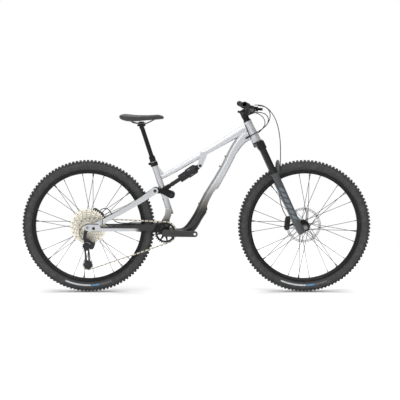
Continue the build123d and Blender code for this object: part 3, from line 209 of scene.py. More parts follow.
def flake_paint(name):
    """Satin silver paint with metal flake, and the orange peel that sprayed paint has."""
    paint = Finish(name, Metallic=0.78, Coat_Roughness=0.18, Coat_Weight=0.35)
    point = paint.place()
    flake = paint.noise(point, 1400.0, 1.0)
    cloud = paint.noise(point, 9.0, 3.0)
    silver = paint.mix(flake, [c * 0.93 for c in SILVER], [min(1.0, c * 1.08) for c in SILVER])
    paint.surface(Roughness=0.27 + 0.05 * cloud + 0.05 * flake)
    paint.bump(paint.noise(point, 420.0, 2.0), 0.00002, 0.25)
    return paint, point, silver


def fading_paint():
    """Silver above, warm grey in the fade, charcoal round the bottom bracket."""
    paint, point, silver = flake_paint("frame_silver_fade")
    x, _, z = paint.axes(point)
    height = z - 0.45 * x + 0.035 * (paint.noise(point, 22.0, 2.0) - 0.5)
    low = paint.mix(height.fade(0.435, 0.50), CHARCOAL, WARM_GREY)
    paint.surface(Base_Color=paint.mix(height.fade(0.475, 0.60), low, silver))
    return paint.material


def swingarm_paint():
    """The chainstay is charcoal at the front and along its top, and silver below towards the axle."""
    paint, point, silver = flake_paint("chainstay_silver_fade")
    x, _, z = paint.axes(point)
    behind = x.fade(-0.315, -0.355)
    under = (z + 0.02 * x).fade(0.362, 0.355)
    paint.surface(Base_Color=paint.mix(behind * under, CHARCOAL, silver))
    return paint.material


def stay_paint():
    """Silver all along, with two thin charcoal bands near the dropout."""
    paint, point, silver = flake_paint("seatstay_silver")
    x, _, _ = paint.axes(point)
    band = (1.0 - (x + 0.522).size().fade(0.0015, 0.0022)) + (1.0 - (x + 0.530).size().fade(0.0008, 0.0014))
    paint.surface(Base_Color=paint.mix(band, silver, CHARCOAL))
    return paint.material


PAINT = {"front_frame": fading_paint(), "chainstays": swingarm_paint(), "seatstays": stay_paint()}
print("paints:", [m.name for m in PAINT.values()])


# %% Anodised, machined and polished metal
def anodised(name, colour, roughness=0.36, wear=0.35, grain=(1, 1, 1)):
    """Coloured oxide skin on aluminium: fine blasted grain, paler where hands and shoes rub it."""
    finish = Finish(name, Metallic=0.72)
    point = finish.place()
    fine = finish.noise(finish.stretch(point, grain), 900.0, 2.0)
    rubbed = finish.noise(point, 38.0, 4.0).fade(0.56, 0.78) * wear
    finish.surface(
        Base_Color=finish.mix(rubbed, finish.mix(fine, [c * 0.8 for c in colour], [c * 1.2 for c in colour]),
                              [0.10 + c * 0.9 for c in colour]),
        Roughness=roughness + 0.10 * fine - 0.10 * rubbed,
    )
    finish.bump(fine, 0.00003, 0.4)
    return finish.material


COG_STEPS = (0.0985, 0.0805, 0.0685, 0.0605, 0.0525, 0.0445, 0.0385, 0.0325)


def cog_shade_lines(finish, x, z, radius):
    """Painted shade: dark lines where one cog stands behind the next and lies in its shadow, and rows of dark
    marks on the cut-outs between them that paint the shade seen through the holes; a dark ring also runs 17 mm
    from the axle.
    """
    turn = finish.maths("ARCTAN2", z, x)
    dark = (radius - 0.0170).size().fade(0.0012, 0.0008)
    for i, (outer, inner) in enumerate(zip(COG_STEPS, COG_STEPS[1:])):
        middle, half = (outer + inner) / 2, (outer - inner) / 2
        waves = finish.maths("SINE", turn * (20 - i) + 1.3 * i)
        # slots: dark marks painted on the cut-outs, standing in for the shade seen through them
        slots = waves.fade(0.55, 0.80) * (radius - middle).size().fade(half * 0.46, half * 0.30)
        # the last term is a painted shadow line just outside the teeth of each smaller cog
        dark = dark + 0.8 * slots + 0.75 * (radius - inner).size().fade(0.0017, 0.0007)
    return dark


def turned_metal(name, colour, roughness=0.24, centre=None, cogs=False, metallic=1.0):
    """Bare metal, with the fine rings that a lathe leaves round a centre in the side view, and painted shade
    between the cassette's cogs when asked for.
    """
    finish = Finish(name, Metallic=metallic)
    point = finish.place()
    if centre:
        x, _, z = finish.axes(finish.from_hub(point, centre))
        rings = (x * x + z * z).power(0.5)
        fine = finish.node(
            "ShaderNodeTexNoise", {"noise_dimensions": "1D"}, {"W": rings, "Scale": 1600.0}, "Fac",
        )
    else:
        fine = finish.noise(finish.stretch(point, (0.15, 1, 1)), 1200.0, 2.0)
    film = finish.noise(point, 60.0, 4.0)
    shade = finish.mix(film.fade(0.45, 0.75), colour, [c * 0.72 for c in colour])
    if cogs:
        # painted shade: the cassette's shadow lines and dark cut-outs are mixed into the metal colour
        shade = finish.mix(cog_shade_lines(finish, x, z, rings), shade, (0.13, 0.12, 0.10))
    finish.surface(
        Base_Color=shade,
        Roughness=roughness + 0.12 * fine + 0.10 * film,
    )
    finish.bump(fine, 0.00002, 0.5)
    return finish.material


BLACK = (0.012, 0.012, 0.013)
GRAPHITE = (0.028, 0.029, 0.031)
CHAMPAGNE = (0.86, 0.82, 0.70)
STEEL = (0.55, 0.55, 0.56)
black_oxide = anodised("black_oxide", BLACK)
link_black = anodised("rocker_satin_black", (0.010, 0.010, 0.011), 0.42, 0.15)
crank_black = anodised("crank_forged_black", (0.048, 0.048, 0.049), 0.34, 0.30)
bar_black = anodised("bar_bead_blasted", BLACK, 0.46, 0.12)
rim_black = anodised("rim_oxide", (0.013, 0.013, 0.014), 0.40, 0.20)
bolt_black = anodised("bolt_black", (0.03, 0.03, 0.032), 0.28, 0.5)
derailleur_grey = anodised("derailleur_graphite", GRAPHITE, 0.33, 0.4)
stanchion_black = turned_metal("stanchion_polish", (0.035, 0.034, 0.034), 0.10)
spoke_black = anodised("spoke_black", (0.008, 0.008, 0.008), 0.50, 0.1)
axle_steel = turned_metal("axle_steel", (0.26, 0.26, 0.27), 0.28)
rail_steel = turned_metal("rail_steel", (0.10, 0.10, 0.105), 0.26)
# The cassette's metal carries painted shade between its cogs and on its cut-outs.
cog_steel = turned_metal("cassette_champagne", CHAMPAGNE, 0.26, HUBS["rear"], cogs=True, metallic=0.45)
print("metals ready")

# %% [markdown]
# ## Rubber, plastic and the fork's paint
# Rubber and moulded plastic are dull and never even: tyres gather dust in the tread, and plastic has a fine
# sparkle of texture from its mould. The fork's legs have a soft pattern of slanted blocks under lacquer.


# %% Rubber and plastic
def moulded(name, colour, roughness=0.55, grain=700.0, depth=0.00006, dust=0.25):
    """Plastic or rubber from a textured mould, with a thin film of dust."""
    finish = Finish(name, IOR=1.46)
    point = finish.place()
    pores = finish.cells(point, grain)
    film = finish.noise(point, 26.0, 5.0).fade(0.45, 0.80) * dust
    finish.surface(
        Base_Color=finish.mix(film, colour, [0.045 + c for c in colour]),
        Roughness=roughness + 0.12 * film + 0.10 * pores,
    )
    finish.bump(pores, depth, 0.5)
    return finish.material


SHOCK_TOP = (0.0208, 0.7143)
SHOCK_SLOPE = (0.832, 0.555)
RING_PLACE = 0.185


def along_shock(x, z):
    """Distance down the shock from its upper eye."""
    return (SHOCK_TOP[0] - x) * SHOCK_SLOPE[0] + (SHOCK_TOP[1] - z) * SHOCK_SLOPE[1]


def shock_sleeve():
    """Black can with a pale band of plain bars round it."""
    finish = Finish("shock_can_black", Metallic=0.55)
    point = finish.place()
    x, _, z = finish.axes(point)
    band = (along_shock(x, z) - 0.066).size().fade(0.0075, 0.0070)
    bars = finish.noise(finish.stretch(point, (0.0, 1.0, 0.0)), 170.0, 0.0).fade(0.53, 0.56) * band
    fine = finish.noise(point, 900.0, 2.0)
    finish.surface(
        Base_Color=finish.mix(bars, finish.mix(fine, (0.010, 0.010, 0.011), (0.022, 0.022, 0.024)),
                              (0.16, 0.17, 0.19)),
        Roughness=0.30 + 0.10 * fine,
    )
    finish.bump(fine, 0.00002, 0.4)
    return finish.material


def shock_rod_finish():
    """Polished black shaft with the red travel ring."""
    finish = Finish("shock_shaft_polish", Metallic=0.6)
    point = finish.place()
    x, _, z = finish.axes(point)
    across = ((SHOCK_TOP[0] - x) * SHOCK_SLOPE[1] - (SHOCK_TOP[1] - z) * SHOCK_SLOPE[0]).size()
    ring = across.fade(0.0119, 0.0122) * (along_shock(x, z) - RING_PLACE).size().fade(0.0022, 0.0019)
    fine = finish.noise(point, 1100.0, 1.0)
    finish.surface(
        Base_Color=finish.mix(ring, finish.mix(fine, (0.010, 0.010, 0.010), (0.020, 0.020, 0.021)),
                              (0.42, 0.012, 0.014)),
        Roughness=0.16 + 0.08 * fine + 0.3 * ring,
    )
    finish.bump(fine, 0.00001, 0.4)
    return finish.material


FORK_GREY = (0.042, 0.046, 0.050)
BLOCK_PITCH = 0.034
LEG_SLOPE = (0.4226, 0.9063)


def fork_paint():
    """Dark grey lacquer; slanted blocks of a slightly bluer grey run down the outside of each leg."""
    finish = Finish("fork_dark_grey", Coat_Weight=0.4, Coat_Roughness=0.2)
    point = finish.place()
    x, y, z = finish.axes(point)
    hub_x, hub_z = HUBS["front"]
    along = (hub_x - x) * LEG_SLOPE[0] + (z - hub_z) * LEG_SLOPE[1]
    ahead = (x - hub_x) * LEG_SLOPE[1] + (z - hub_z) * LEG_SLOPE[0]
    slant = finish.maths("WRAP", along + 0.9 * ahead, BLOCK_PITCH, 0.0)
    block = (slant - BLOCK_PITCH / 2).size().fade(0.0115, 0.0105)
    stretch_of_leg = along.fade(0.055, 0.060) * along.fade(0.268, 0.262)
    side = y.size().fade(0.080, 0.083) * (ahead + 0.0315).size().fade(0.0115, 0.0100)
    graphic = block * stretch_of_leg * side
    fine = finish.noise(point, 800.0, 2.0)
    grey = finish.mix(fine, [c * 0.85 for c in FORK_GREY], [c * 1.15 for c in FORK_GREY])
    finish.surface(
        Base_Color=finish.mix(graphic, grey, (0.115, 0.145, 0.170)),
        Roughness=0.36 + 0.10 * fine - 0.06 * graphic,
        Metallic=0.25,
    )
    finish.bump(finish.noise(point, 330.0, 2.0), 0.00003, 0.4)
    return finish.material


soft_rubber = moulded("guard_rubber", (0.016, 0.015, 0.015), 0.62, 420.0, 0.0001, 0.35)
hard_plastic = moulded("moulded_plastic", (0.014, 0.014, 0.015), 0.44, 900.0, 0.00004, 0.15)
housing_plastic = moulded("housing_skin", (0.012, 0.012, 0.013), 0.38, 1200.0, 0.00003, 0.2)
grip_rubber = moulded("grip_rubber", (0.013, 0.013, 0.013), 0.72, 520.0, 0.00012, 0.35)
bearing_seal = moulded("bearing_seal", (0.020, 0.020, 0.021), 0.42, 600.0, 0.00003, 0.2)
print("rubber and plastic ready")

# %% Which CAD part gets which finish
SHARED = [
    (bearing_seal, "frame_bearings chainstay_bearings"),
    (bolt_black, "frame_axles bottle_bolts stay_bolts"),
    (black_oxide, "seat_clamp chainring rear_hub front_hub brake_lever_right brake_lever_left"),
    (bar_black, "dropper_outer headset_spacers handlebar"),
    (soft_rubber, "cable_ports down_tube_guard chainstay_guard"),
    (crank_black, "crank_arm_right crank_arm_left"),
    (axle_steel, "rear_axle front_axle"),
    (derailleur_grey, "rear_caliper derailleur_body derailleur_cage brake_clamps shift_lever dropper_lever "
                      "front_caliper"),
    (hard_plastic, "guide_pulley tension_pulley shifter_body"),
    (link_black, "rocker shock_yoke"),
    (rim_black, "rear_rim front_rim"),
]
FINISHES = {node: finish for finish, names in SHARED for node in names.split()}
FINISHES.update({
    "shock_can": shock_sleeve(), "shock_shaft": shock_rod_finish(), "fork_lowers": fork_paint(),
    "rear_rotor": turned_metal("rear_rotor_steel", STEEL, 0.20, HUBS["rear"]),
    "front_rotor": turned_metal("front_rotor_steel", STEEL, 0.20, HUBS["front"]),
    "cassette": cog_steel, "fork_stanchions": stanchion_black, "saddle_rails": rail_steel,
    "fork_crown": anodised("crown_satin_black", (0.014, 0.014, 0.015), 0.38, 0.15),
    "stem": anodised("stem_black", (0.011, 0.011, 0.012), 0.42, 0.2),
    "seatpost": anodised("post_black", (0.012, 0.012, 0.012), 0.30, 0.1),
    **PAINT,
})


def dress(node, finish):
    """Give a CAD part its finish in every material slot."""
    materials = nodes[node].data.materials
    if not len(materials):
        materials.append(finish)
    for i in range(len(materials)):
        materials[i] = finish


for name, finish in FINISHES.items():
    dress(name, finish)
print("dressed", len(FINISHES), "CAD parts")

# %% [markdown]
# ## Building blocks for meshes
# A few helpers serve the rest of the lesson. One turns lists of points and faces into a piece that stands at
# the origin, one spins a closed profile round an axle, and one joins pieces. A Pattern is a Geometry Nodes
# tree: it feeds the tree's named inputs, and turns what the tree makes into a plain mesh.


# %% Mesh helpers
def linked(name, data):
    """A new object in the scene, at the origin."""
    made = bpy.data.objects.new(name, data)
    scene.collection.objects.link(made)
    return made


def evaluated_mesh(made):
    """A plain mesh of an object as its modifiers leave it."""
    bpy.context.view_layer.update()
    return bpy.data.meshes.new_from_object(made.evaluated_get(bpy.context.evaluated_depsgraph_get()))


def piece_from(name, points, faces, finish, smooth=True):
    """A mesh object at the origin, with outward faces."""
    mesh = bpy.data.meshes.new(name)
    mesh.from_pydata([tuple(p) for p in points], [], faces)
    shape = bmesh.new()
    shape.from_mesh(mesh)
    bmesh.ops.remove_doubles(shape, verts=shape.verts, dist=1e-6)
    bmesh.ops.recalc_face_normals(shape, faces=shape.faces)
    shape.to_mesh(mesh)
    shape.free()
    mesh.materials.append(finish)
    mesh.polygons.foreach_set("use_smooth", [smooth] * len(mesh.polygons))
    return linked(name, mesh)


def ring_faces(outer, inner):
    """Four-sided faces between closed rings of points: `outer` rings of `inner` points each."""
    faces = []
    for o in range(outer):
        here, after = o * inner, (o + 1) % outer * inner
        for i in range(inner):
            faces.append((here + i, here + (i + 1) % inner, after + (i + 1) % inner, after + i))
    return faces


def spun(name, profile, centre, steps, finish):
    """Spin a closed (radius, y) profile round an axle that lies along Y."""
    points = []
    for i in range(steps):
        turn = 2 * math.pi * i / steps
        for radius, y in profile:
            points.append((centre[0] + radius * math.cos(turn), y, centre[1] + radius * math.sin(turn)))
    return piece_from(name, points, ring_faces(steps, len(profile)), finish)


def joined(name, parts):
    """Merge several finished meshes into one piece."""
    shape = bmesh.new()
    slots = []
    for part in parts:
        mesh = part.data
        start = len(slots)
        slots.extend(mesh.materials)
        before = len(shape.faces)
        shape.from_mesh(mesh)
        shape.faces.ensure_lookup_table()
        for face in shape.faces[before:]:
            face.material_index += start
    whole = bpy.data.meshes.new(name)
    shape.to_mesh(whole)
    shape.free()
    for material in slots:
        whole.materials.append(material)
    for part in parts:
        bpy.data.objects.remove(part)
    return linked(name, whole)


# %% Geometry Nodes helpers
class Pattern:
    """A Geometry Nodes tree with named inputs, built one node at a time."""

    def __init__(self, name, inputs):
        self.tree = bpy.data.node_groups.new(name, "GeometryNodeTree")
        self.tree.interface.new_socket("Geometry", in_out="INPUT", socket_type="NodeSocketGeometry")
        self.ids = {}
        for label, kind in inputs.items():
            made = self.tree.interface.new_socket(label, in_out="INPUT", socket_type=kind)
            self.ids[label] = made.identifier
        self.tree.interface.new_socket("Geometry", in_out="OUTPUT", socket_type="NodeSocketGeometry")
        self.start = self.tree.nodes.new("NodeGroupInput")
        self.end = self.tree.nodes.new("NodeGroupOutput")

    def given(self, label):
        return self.start.outputs[label]

    def node(self, kind, settings, sockets, output=0):
        made = self.tree.nodes.new(kind if kind.startswith("Shader") else "GeometryNode" + kind)
        for key, value in settings.items():
            setattr(made, key, value)
        for key, value in sockets.items():
            if isinstance(value, bpy.types.NodeSocket):
                self.tree.links.new(value, made.inputs[key])
            else:
                made.inputs[key].default_value = value
        return made.outputs[output]

    def maths(self, operation, a, b):
        return self.node("ShaderNodeMath", {"operation": operation}, {0: a, 1: b})

    def finish_with(self, geometry):
        """Every pattern ends in real geometry with the given material."""
        real = self.node("RealizeInstances", {}, {0: geometry})
        done = self.node("SetMaterial", {}, {0: real, "Material": self.given("Material")})
        self.tree.links.new(done, self.end.inputs[0])

    def make(self, name, base=None, **values):
        """Run the pattern on a base mesh, or on nothing, and keep the result as a plain mesh."""
        carrier = base or linked(name + "_carrier", bpy.data.meshes.new(name + "_carrier"))
        modifier = carrier.modifiers.new("pattern", "NODES")
        modifier.node_group = self.tree
        for label, value in values.items():
            modifier[self.ids[label.replace("_", " ")]] = value
        mesh = evaluated_mesh(carrier)
        bpy.data.objects.remove(carrier)
        return linked(name, mesh)


print("mesh and pattern helpers ready")

# %% [markdown]
# ## Tyres
# A mountain bike tyre is a thin casing with rows of rubber blocks: low ones along the middle that roll well,
# and tall ones on the shoulders that dig in when the bike leans. The casing is one closed profile spun round
# the axle. The blocks repeat, so a pattern places them: one block is made at the top of the wheel, and copies
# of it are turned round the axle. Each row gets its own lean, size and start angle.

# %% Tyre rubber
SECTION_RADIUS = 0.343
BAR_PITCH = 0.031
BOTTOM = 1.571


def tyre_rubber(name, hub):
    """Dark rubber: dusty in places, finely ribbed near the rim, with short bars low on the sidewall."""
    finish = Finish(name, IOR=1.45)
    point = finish.place()
    x, y, z = finish.axes(finish.from_hub(point, hub))
    radius = (x * x + z * z).power(0.5)
    turn = finish.maths("ARCTAN2", z, x)
    ribs = finish.maths("SINE", radius * 5200.0)
    near_rim = radius.fade(0.334, 0.328)
    grime = finish.noise(point, 45.0, 5.0).fade(0.40, 0.75)
    pores = finish.noise(point, 900.0, 2.0)
    low_arc = (turn + BOTTOM).size().fade(0.402, 0.398)
    ring = (radius - 0.3335).size().fade(0.0042, 0.0038) * low_arc
    dash = finish.maths("WRAP", turn, BAR_PITCH, 0.0)
    bars = ring * (dash - BAR_PITCH / 2).size().fade(0.0115, 0.0105) * y.size().fade(0.0200, 0.0210)
    white = bars * (turn + BOTTOM).fade(0.035, 0.030)
    blue = bars * (turn + 1.631).fade(0.105, 0.108) * (turn + BOTTOM).fade(0.176, 0.172)
    rubber = finish.mix(grime, (0.0310, 0.0315, 0.0320), (0.0600, 0.0600, 0.0590))
    marked = finish.mix(0.12 * bars + 0.80 * white, rubber, (0.72, 0.73, 0.74))
    finish.surface(
        Base_Color=finish.mix(blue, marked, (0.10, 0.33, 0.62)),
        Roughness=0.62 + 0.14 * grime + 0.06 * pores,
    )
    finish.bump(ribs * near_rim + 0.8 * pores, 0.00012, 0.55)
    return finish.material


TYRE_RUBBER = {name: tyre_rubber(name + "_tyre_rubber", hub) for name, hub in HUBS.items()}
print("tyre rubber:", list(TYRE_RUBBER))

# %% Casing
OUTER_HALF = [
    (0.3130, 0.0145), (0.3185, 0.0147), (0.3210, 0.0176), (0.3260, 0.0226), (0.3325, 0.0266),
    (0.3400, 0.0288), (0.3470, 0.0286), (0.3528, 0.0256), (0.3577, 0.0206), (0.3618, 0.0144), (0.3644, 0.0075),
]
INNER_HALF = [
    (0.3622, 0.0070), (0.3594, 0.0132), (0.3554, 0.0190), (0.3515, 0.0235), (0.3465, 0.0261),
    (0.3402, 0.0262), (0.3335, 0.0242), (0.3275, 0.0204), (0.3225, 0.0158), (0.3190, 0.0118), (0.3130, 0.0116),
]


def casing_profile():
    left = OUTER_HALF + [(0.3653, 0.0)]
    right = [(r, -y) for r, y in reversed(OUTER_HALF)]
    inner = [(r, -y) for r, y in reversed(INNER_HALF)] + [(0.3631, 0.0)] + INNER_HALF
    return left + right + inner


CASING_STEPS = 144
casings = {
    name: spun(name + "_casing", casing_profile(), hub, CASING_STEPS, TYRE_RUBBER[name])
    for name, hub in HUBS.items()
}
print("casing profile points:", len(casing_profile()))

# %% Tread blocks
knobs = Pattern("tread_row", {
    "Count": "NodeSocketInt", "Size": "NodeSocketVector", "Reach": "NodeSocketFloat",
    "Lean": "NodeSocketFloat", "Start": "NodeSocketFloat", "Hub": "NodeSocketVector",
    "Material": "NodeSocketMaterial",
})
block = knobs.node("MeshCone", {}, {
    "Vertices": 8, "Radius Top": 0.46, "Radius Bottom": 0.56, "Depth": 1.0,
}, "Mesh")
block = knobs.node("Transform", {}, {
    0: block, "Rotation": (0, 0, math.radians(22.5)), "Scale": knobs.given("Size"),
})
lift = knobs.node("ShaderNodeCombineXYZ", {}, {"Z": knobs.given("Reach")})
block = knobs.node("Transform", {}, {0: block, "Translation": lift})
lean = knobs.node("ShaderNodeCombineXYZ", {}, {"X": knobs.given("Lean")})
block = knobs.node("Transform", {}, {
    0: block, "Rotation": lean, "Translation": (0, 0, SECTION_RADIUS),
})
row = knobs.node("MeshLine", {}, {"Count": knobs.given("Count"), "Offset": (0, 0, 0)})
step = knobs.maths("DIVIDE", 2 * math.pi, knobs.given("Count"))
index = knobs.node("InputIndex", {}, {})
turn = knobs.maths("ADD", knobs.maths("MULTIPLY", index, step), knobs.given("Start"))
turn = knobs.node("ShaderNodeCombineXYZ", {}, {"Y": turn})
ring = knobs.node("InstanceOnPoints", {}, {"Points": row, "Instance": block, "Rotation": turn})
ring = knobs.node("Transform", {}, {0: ring, "Translation": knobs.given("Hub")})
knobs.finish_with(ring)

BLOCKS_ROUND = 110
HALF_STEP = math.pi / BLOCKS_ROUND
ROWS = [
    ((0.0134, 0.0094, 0.0080), 0.0217, 0.0056, 0.0),
    ((0.0122, 0.0088, 0.0074), 0.0223, 0.0158, 0.0),
    ((0.0126, 0.0084, 0.0080), 0.0217, 0.0252, HALF_STEP),
    ((0.0062, 0.0060, 0.0040), 0.0256, 0.0340, 0.0),
]
ARC_RADIUS = 0.0275


def tread(name, hub):
    """All rows of blocks for one wheel, both sides, merged with the casing."""
    parts = [casings[name]]
    for size, reach, across, start in ROWS:
        for side in (1, -1):
            parts.append(knobs.make(
                f"{name}_row", Count=BLOCKS_ROUND, Size=size, Reach=reach, Lean=-side * across / ARC_RADIUS,
                Start=start, Hub=(hub[0], 0, hub[1]), Material=TYRE_RUBBER[name],
            ))
    return joined(name + "_knobbly_tyre", parts)


for name, hub in HUBS.items():
    tyre = tread(name, hub)
    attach(tyre, name + "_wheel")
    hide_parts(name + "_tyre")
    print(tyre.name, "faces", len(tyre.data.polygons))

# %% [markdown]
# ## Spokes
# Each wheel has 32 spokes. They leave the hub flange almost at a tangent, cross a neighbour, and end in black
# nipples in the rim. One spoke of each kind is described by where it starts and ends, and the pattern turns
# it round the axle eight times: two flanges and two leans make four rows, and each row has its nipples.

# %% Spoke pattern
spoke_row = Pattern("spoke_row", {
    "Count": "NodeSocketInt", "Start": "NodeSocketVector", "End": "NodeSocketVector",
    "Thickness": "NodeSocketFloat", "Hub": "NodeSocketVector", "Material": "NodeSocketMaterial",
})
line = spoke_row.node("CurvePrimitiveLine", {}, {
    "Start": spoke_row.given("Start"), "End": spoke_row.given("End"),
})
half = spoke_row.maths("MULTIPLY", spoke_row.given("Thickness"), 0.5)
section = spoke_row.node("CurvePrimitiveCircle", {}, {"Resolution": 8, "Radius": half})
wire = spoke_row.node("CurveToMesh", {}, {"Curve": line, "Profile Curve": section, "Fill Caps": True})
row = spoke_row.node("MeshLine", {}, {"Count": spoke_row.given("Count"), "Offset": (0, 0, 0)})
step = spoke_row.maths("DIVIDE", 2 * math.pi, spoke_row.given("Count"))
turn = spoke_row.maths("MULTIPLY", spoke_row.node("InputIndex", {}, {}), step)
turn = spoke_row.node("ShaderNodeCombineXYZ", {}, {"Y": turn})
wires = spoke_row.node("InstanceOnPoints", {}, {"Points": row, "Instance": wire, "Rotation": turn})
wires = spoke_row.node("Transform", {}, {0: wires, "Translation": spoke_row.given("Hub")})
spoke_row.finish_with(wires)
print("spoke pattern inputs:", list(spoke_row.ids))

# %% Lace both wheels
FLANGES = {"front": (0.027, -0.031), "rear": (0.034, -0.021)}
FLANGE_RADIUS = 0.026
RIM_REACH = 0.2967
SPOKES_IN_ROW = 8
SPOKE_THICKNESS = 0.0027
NIPPLE_THICKNESS = 0.0042
NIPPLE_LENGTH = 0.014


def spoke_line(flange, lean, side):
    """Start and end of one spoke, measured from the middle of the hub."""
    angle = math.pi / 8 * (1 if lean > 0 else 0) + math.pi / 16 * side
    at_hub = angle + lean * math.radians(62)
    at_rim = angle + lean * math.pi / 32 * 0.9
    hub_y, rim_y = flange + lean * 0.0031, math.copysign(0.0032, flange)
    start = Vector((FLANGE_RADIUS * math.cos(at_hub), hub_y, FLANGE_RADIUS * math.sin(at_hub)))
    end = Vector((RIM_REACH * math.cos(at_rim), rim_y, RIM_REACH * math.sin(at_rim)))
    return start, end


def laced(name, hub):
    parts = []
    for side, flange in enumerate(FLANGES[name]):
        for lean in (1, -1):
            start, end = spoke_line(flange, lean, side)
            along = (end - start).normalized()
            nipple = (end - along * NIPPLE_LENGTH, end - along * 0.0005, NIPPLE_THICKNESS)
            for first, last, thickness in ((start, end, SPOKE_THICKNESS), nipple):
                parts.append(spoke_row.make(
                    name + "_spoke_row", Count=SPOKES_IN_ROW, Start=first, End=last, Thickness=thickness,
                    Hub=(hub[0], 0, hub[1]), Material=spoke_black,
                ))
    return joined(name + "_laced_spokes", parts)


for name, hub in HUBS.items():
    spokes = laced(name, hub)
    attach(spokes, name + "_wheel")
    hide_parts(name + "_spokes")
    print(spokes.name, "faces", len(spokes.data.polygons))

# %% [markdown]
# ## Chain
# A chain is pairs of plates: narrow inner pairs that hold the rollers, and outer pairs that hold the pins.
# It follows the same path as the CAD loop: round the chainring, under the tension pulley, over the guide
# pulley and round the cassette. The path is walked one pitch at a time, which gives a point and an angle for
# each link. A pattern then puts plates on those points. The loop is cut into lengths: a length that lies on
# one part is attached to it, and a length that spans two parts stays fixed where it is made.

# %% Walk the chain path
PITCH = 0.0127
CHAIN_Y = -0.0465


def middle_of(node):
    low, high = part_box(node)
    return ((low.x + high.x) / 2, (low.z + high.z) / 2)


def pitch_circle(teeth):
    return PITCH / 2 / math.sin(math.pi / teeth)


WHEELS = [
    ((-0.1736, 0.342), pitch_circle(30), -1),
    (middle_of("tension_pulley"), pitch_circle(14), -1),
    ((-0.6165, 0.2641), pitch_circle(12), 1),
    (HUBS["rear"], pitch_circle(24), -1),
]


def chain_runs():
    """Arcs and straight runs in order, each a length and a function from distance to point."""
    headings = []
    for i, (near, r1, s1) in enumerate(WHEELS):
        far, r2, s2 = WHEELS[(i + 1) % 4]
        dx, dz = far[0] - near[0], far[1] - near[1]
        headings.append(math.atan2(dz, dx) - math.asin((s2 * r2 - s1 * r1) / math.hypot(dx, dz)))
    runs = []
    for i, (near, r1, s1) in enumerate(WHEELS):
        before, after = headings[i - 1], headings[i]
        start = before - s1 * math.pi / 2
        runs.append(((s1 * (after - before)) % (2 * math.pi) * r1,
                     lambda s, c=near, r=r1, a=start, k=s1: (c[0] + r * math.cos(a + k * s / r),
                                                             c[1] + r * math.sin(a + k * s / r))))
        far, r2, s2 = WHEELS[(i + 1) % 4]
        begin = (near[0] + s1 * r1 * math.sin(after), near[1] - s1 * r1 * math.cos(after))
        end = (far[0] + s2 * r2 * math.sin(after), far[1] - s2 * r2 * math.cos(after))
        runs.append((math.dist(begin, end),
                     lambda s, b=begin, a=after: (b[0] + s * math.cos(a), b[1] + s * math.sin(a))))
    return runs


def walked_chain():
    """Centres of the rollers, and the number of the run that each one lies on."""
    runs = chain_runs()
    total = sum(length for length, _ in runs)

    def at(distance):
        for k, (length, place) in enumerate(runs):
            if distance <= length:
                return place(distance), k
            distance -= length
        return runs[0][1](distance), 8

    here, rollers, distance = at(0)[0], [at(0)], 0.0
    while distance < total - 1.4 * PITCH:
        step = PITCH
        for _ in range(6):
            step += PITCH - math.dist(at(distance + step)[0], here)
        distance += step
        rollers.append(at(distance))
        here = rollers[-1][0]
    return rollers


ROLLERS = walked_chain()
print("links:", len(ROLLERS))


# %% Chain finishes and one plate
def chain_metal(name, colour, roughness):
    """Plated steel with patches of dark oil."""
    finish = Finish(name, Metallic=0.9)
    point = finish.place()
    oil = finish.noise(point, 240.0, 3.0).fade(0.50, 0.72)
    fine = finish.noise(point, 1500.0, 1.0)
    finish.surface(
        Base_Color=finish.mix(oil, colour, [c * 0.35 for c in colour]),
        Roughness=roughness + 0.15 * oil + 0.05 * fine,
    )
    finish.bump(fine, 0.00001, 0.4)
    return finish.material


plate_metal = chain_metal("chain_plate_champagne", (0.60, 0.56, 0.47), 0.26)
inner_metal = chain_metal("chain_inner_plate_oiled", (0.055, 0.050, 0.043), 0.36)
roller_metal = chain_metal("chain_roller_steel", (0.22, 0.21, 0.19), 0.34)


def prism(name, rim, y0, y1, finish):
    """A flat-sided solid: one outline of (x, z) points, carried from y0 to y1."""
    count = len(rim)
    points = [(x, y, z) for y in (y0, y1) for x, z in rim]
    faces = [tuple(range(count)), tuple(range(2 * count - 1, count - 1, -1))]
    faces += [(k, (k + 1) % count, count + (k + 1) % count, count + k) for k in range(count)]
    return piece_from(name, points, faces, finish, smooth=False)


def waisted_plate(name, end_radius, waist, y0, y1, finish):
    """Figure-of-eight plate between two pins, one at the origin and one a pitch along X."""
    rim = []
    for centre, half_turn, middle in ((PITCH, 0, waist), (0.0, math.pi, -waist)):
        for i in range(7):
            a = math.radians(-90 + 30 * i) + half_turn
            rim.append((centre + end_radius * math.cos(a), end_radius * math.sin(a)))
        rim.append((PITCH / 2, middle))
    return prism(name, rim, y0, y1, finish)


def round_bar(name, radius, half, finish, sides=12):
    turns = [2 * math.pi * i / sides for i in range(sides)]
    return prism(name, [(radius * math.cos(a), radius * math.sin(a)) for a in turns], -half, half, finish)


LINK_SHAPES = {
    "outer": [waisted_plate("outer_plate", 0.0040, 0.0030, s * 0.00190, s * 0.00255, plate_metal)
              for s in (1, -1)]
    + [round_bar("pin", 0.0017, 0.00255, roller_metal, 8)],
    "inner": [waisted_plate("inner_plate", 0.0037, 0.0026, s * 0.00120, s * 0.00182, inner_metal)
              for s in (1, -1)]
    + [round_bar("roller", 0.00375, 0.0012, roller_metal)],
}
LINK_SHAPES = {kind: joined(kind + "_link", parts) for kind, parts in LINK_SHAPES.items()}
for shape in LINK_SHAPES.values():
    shape.hide_render = True
print("link faces:", {kind: len(shape.data.polygons) for kind, shape in LINK_SHAPES.items()})

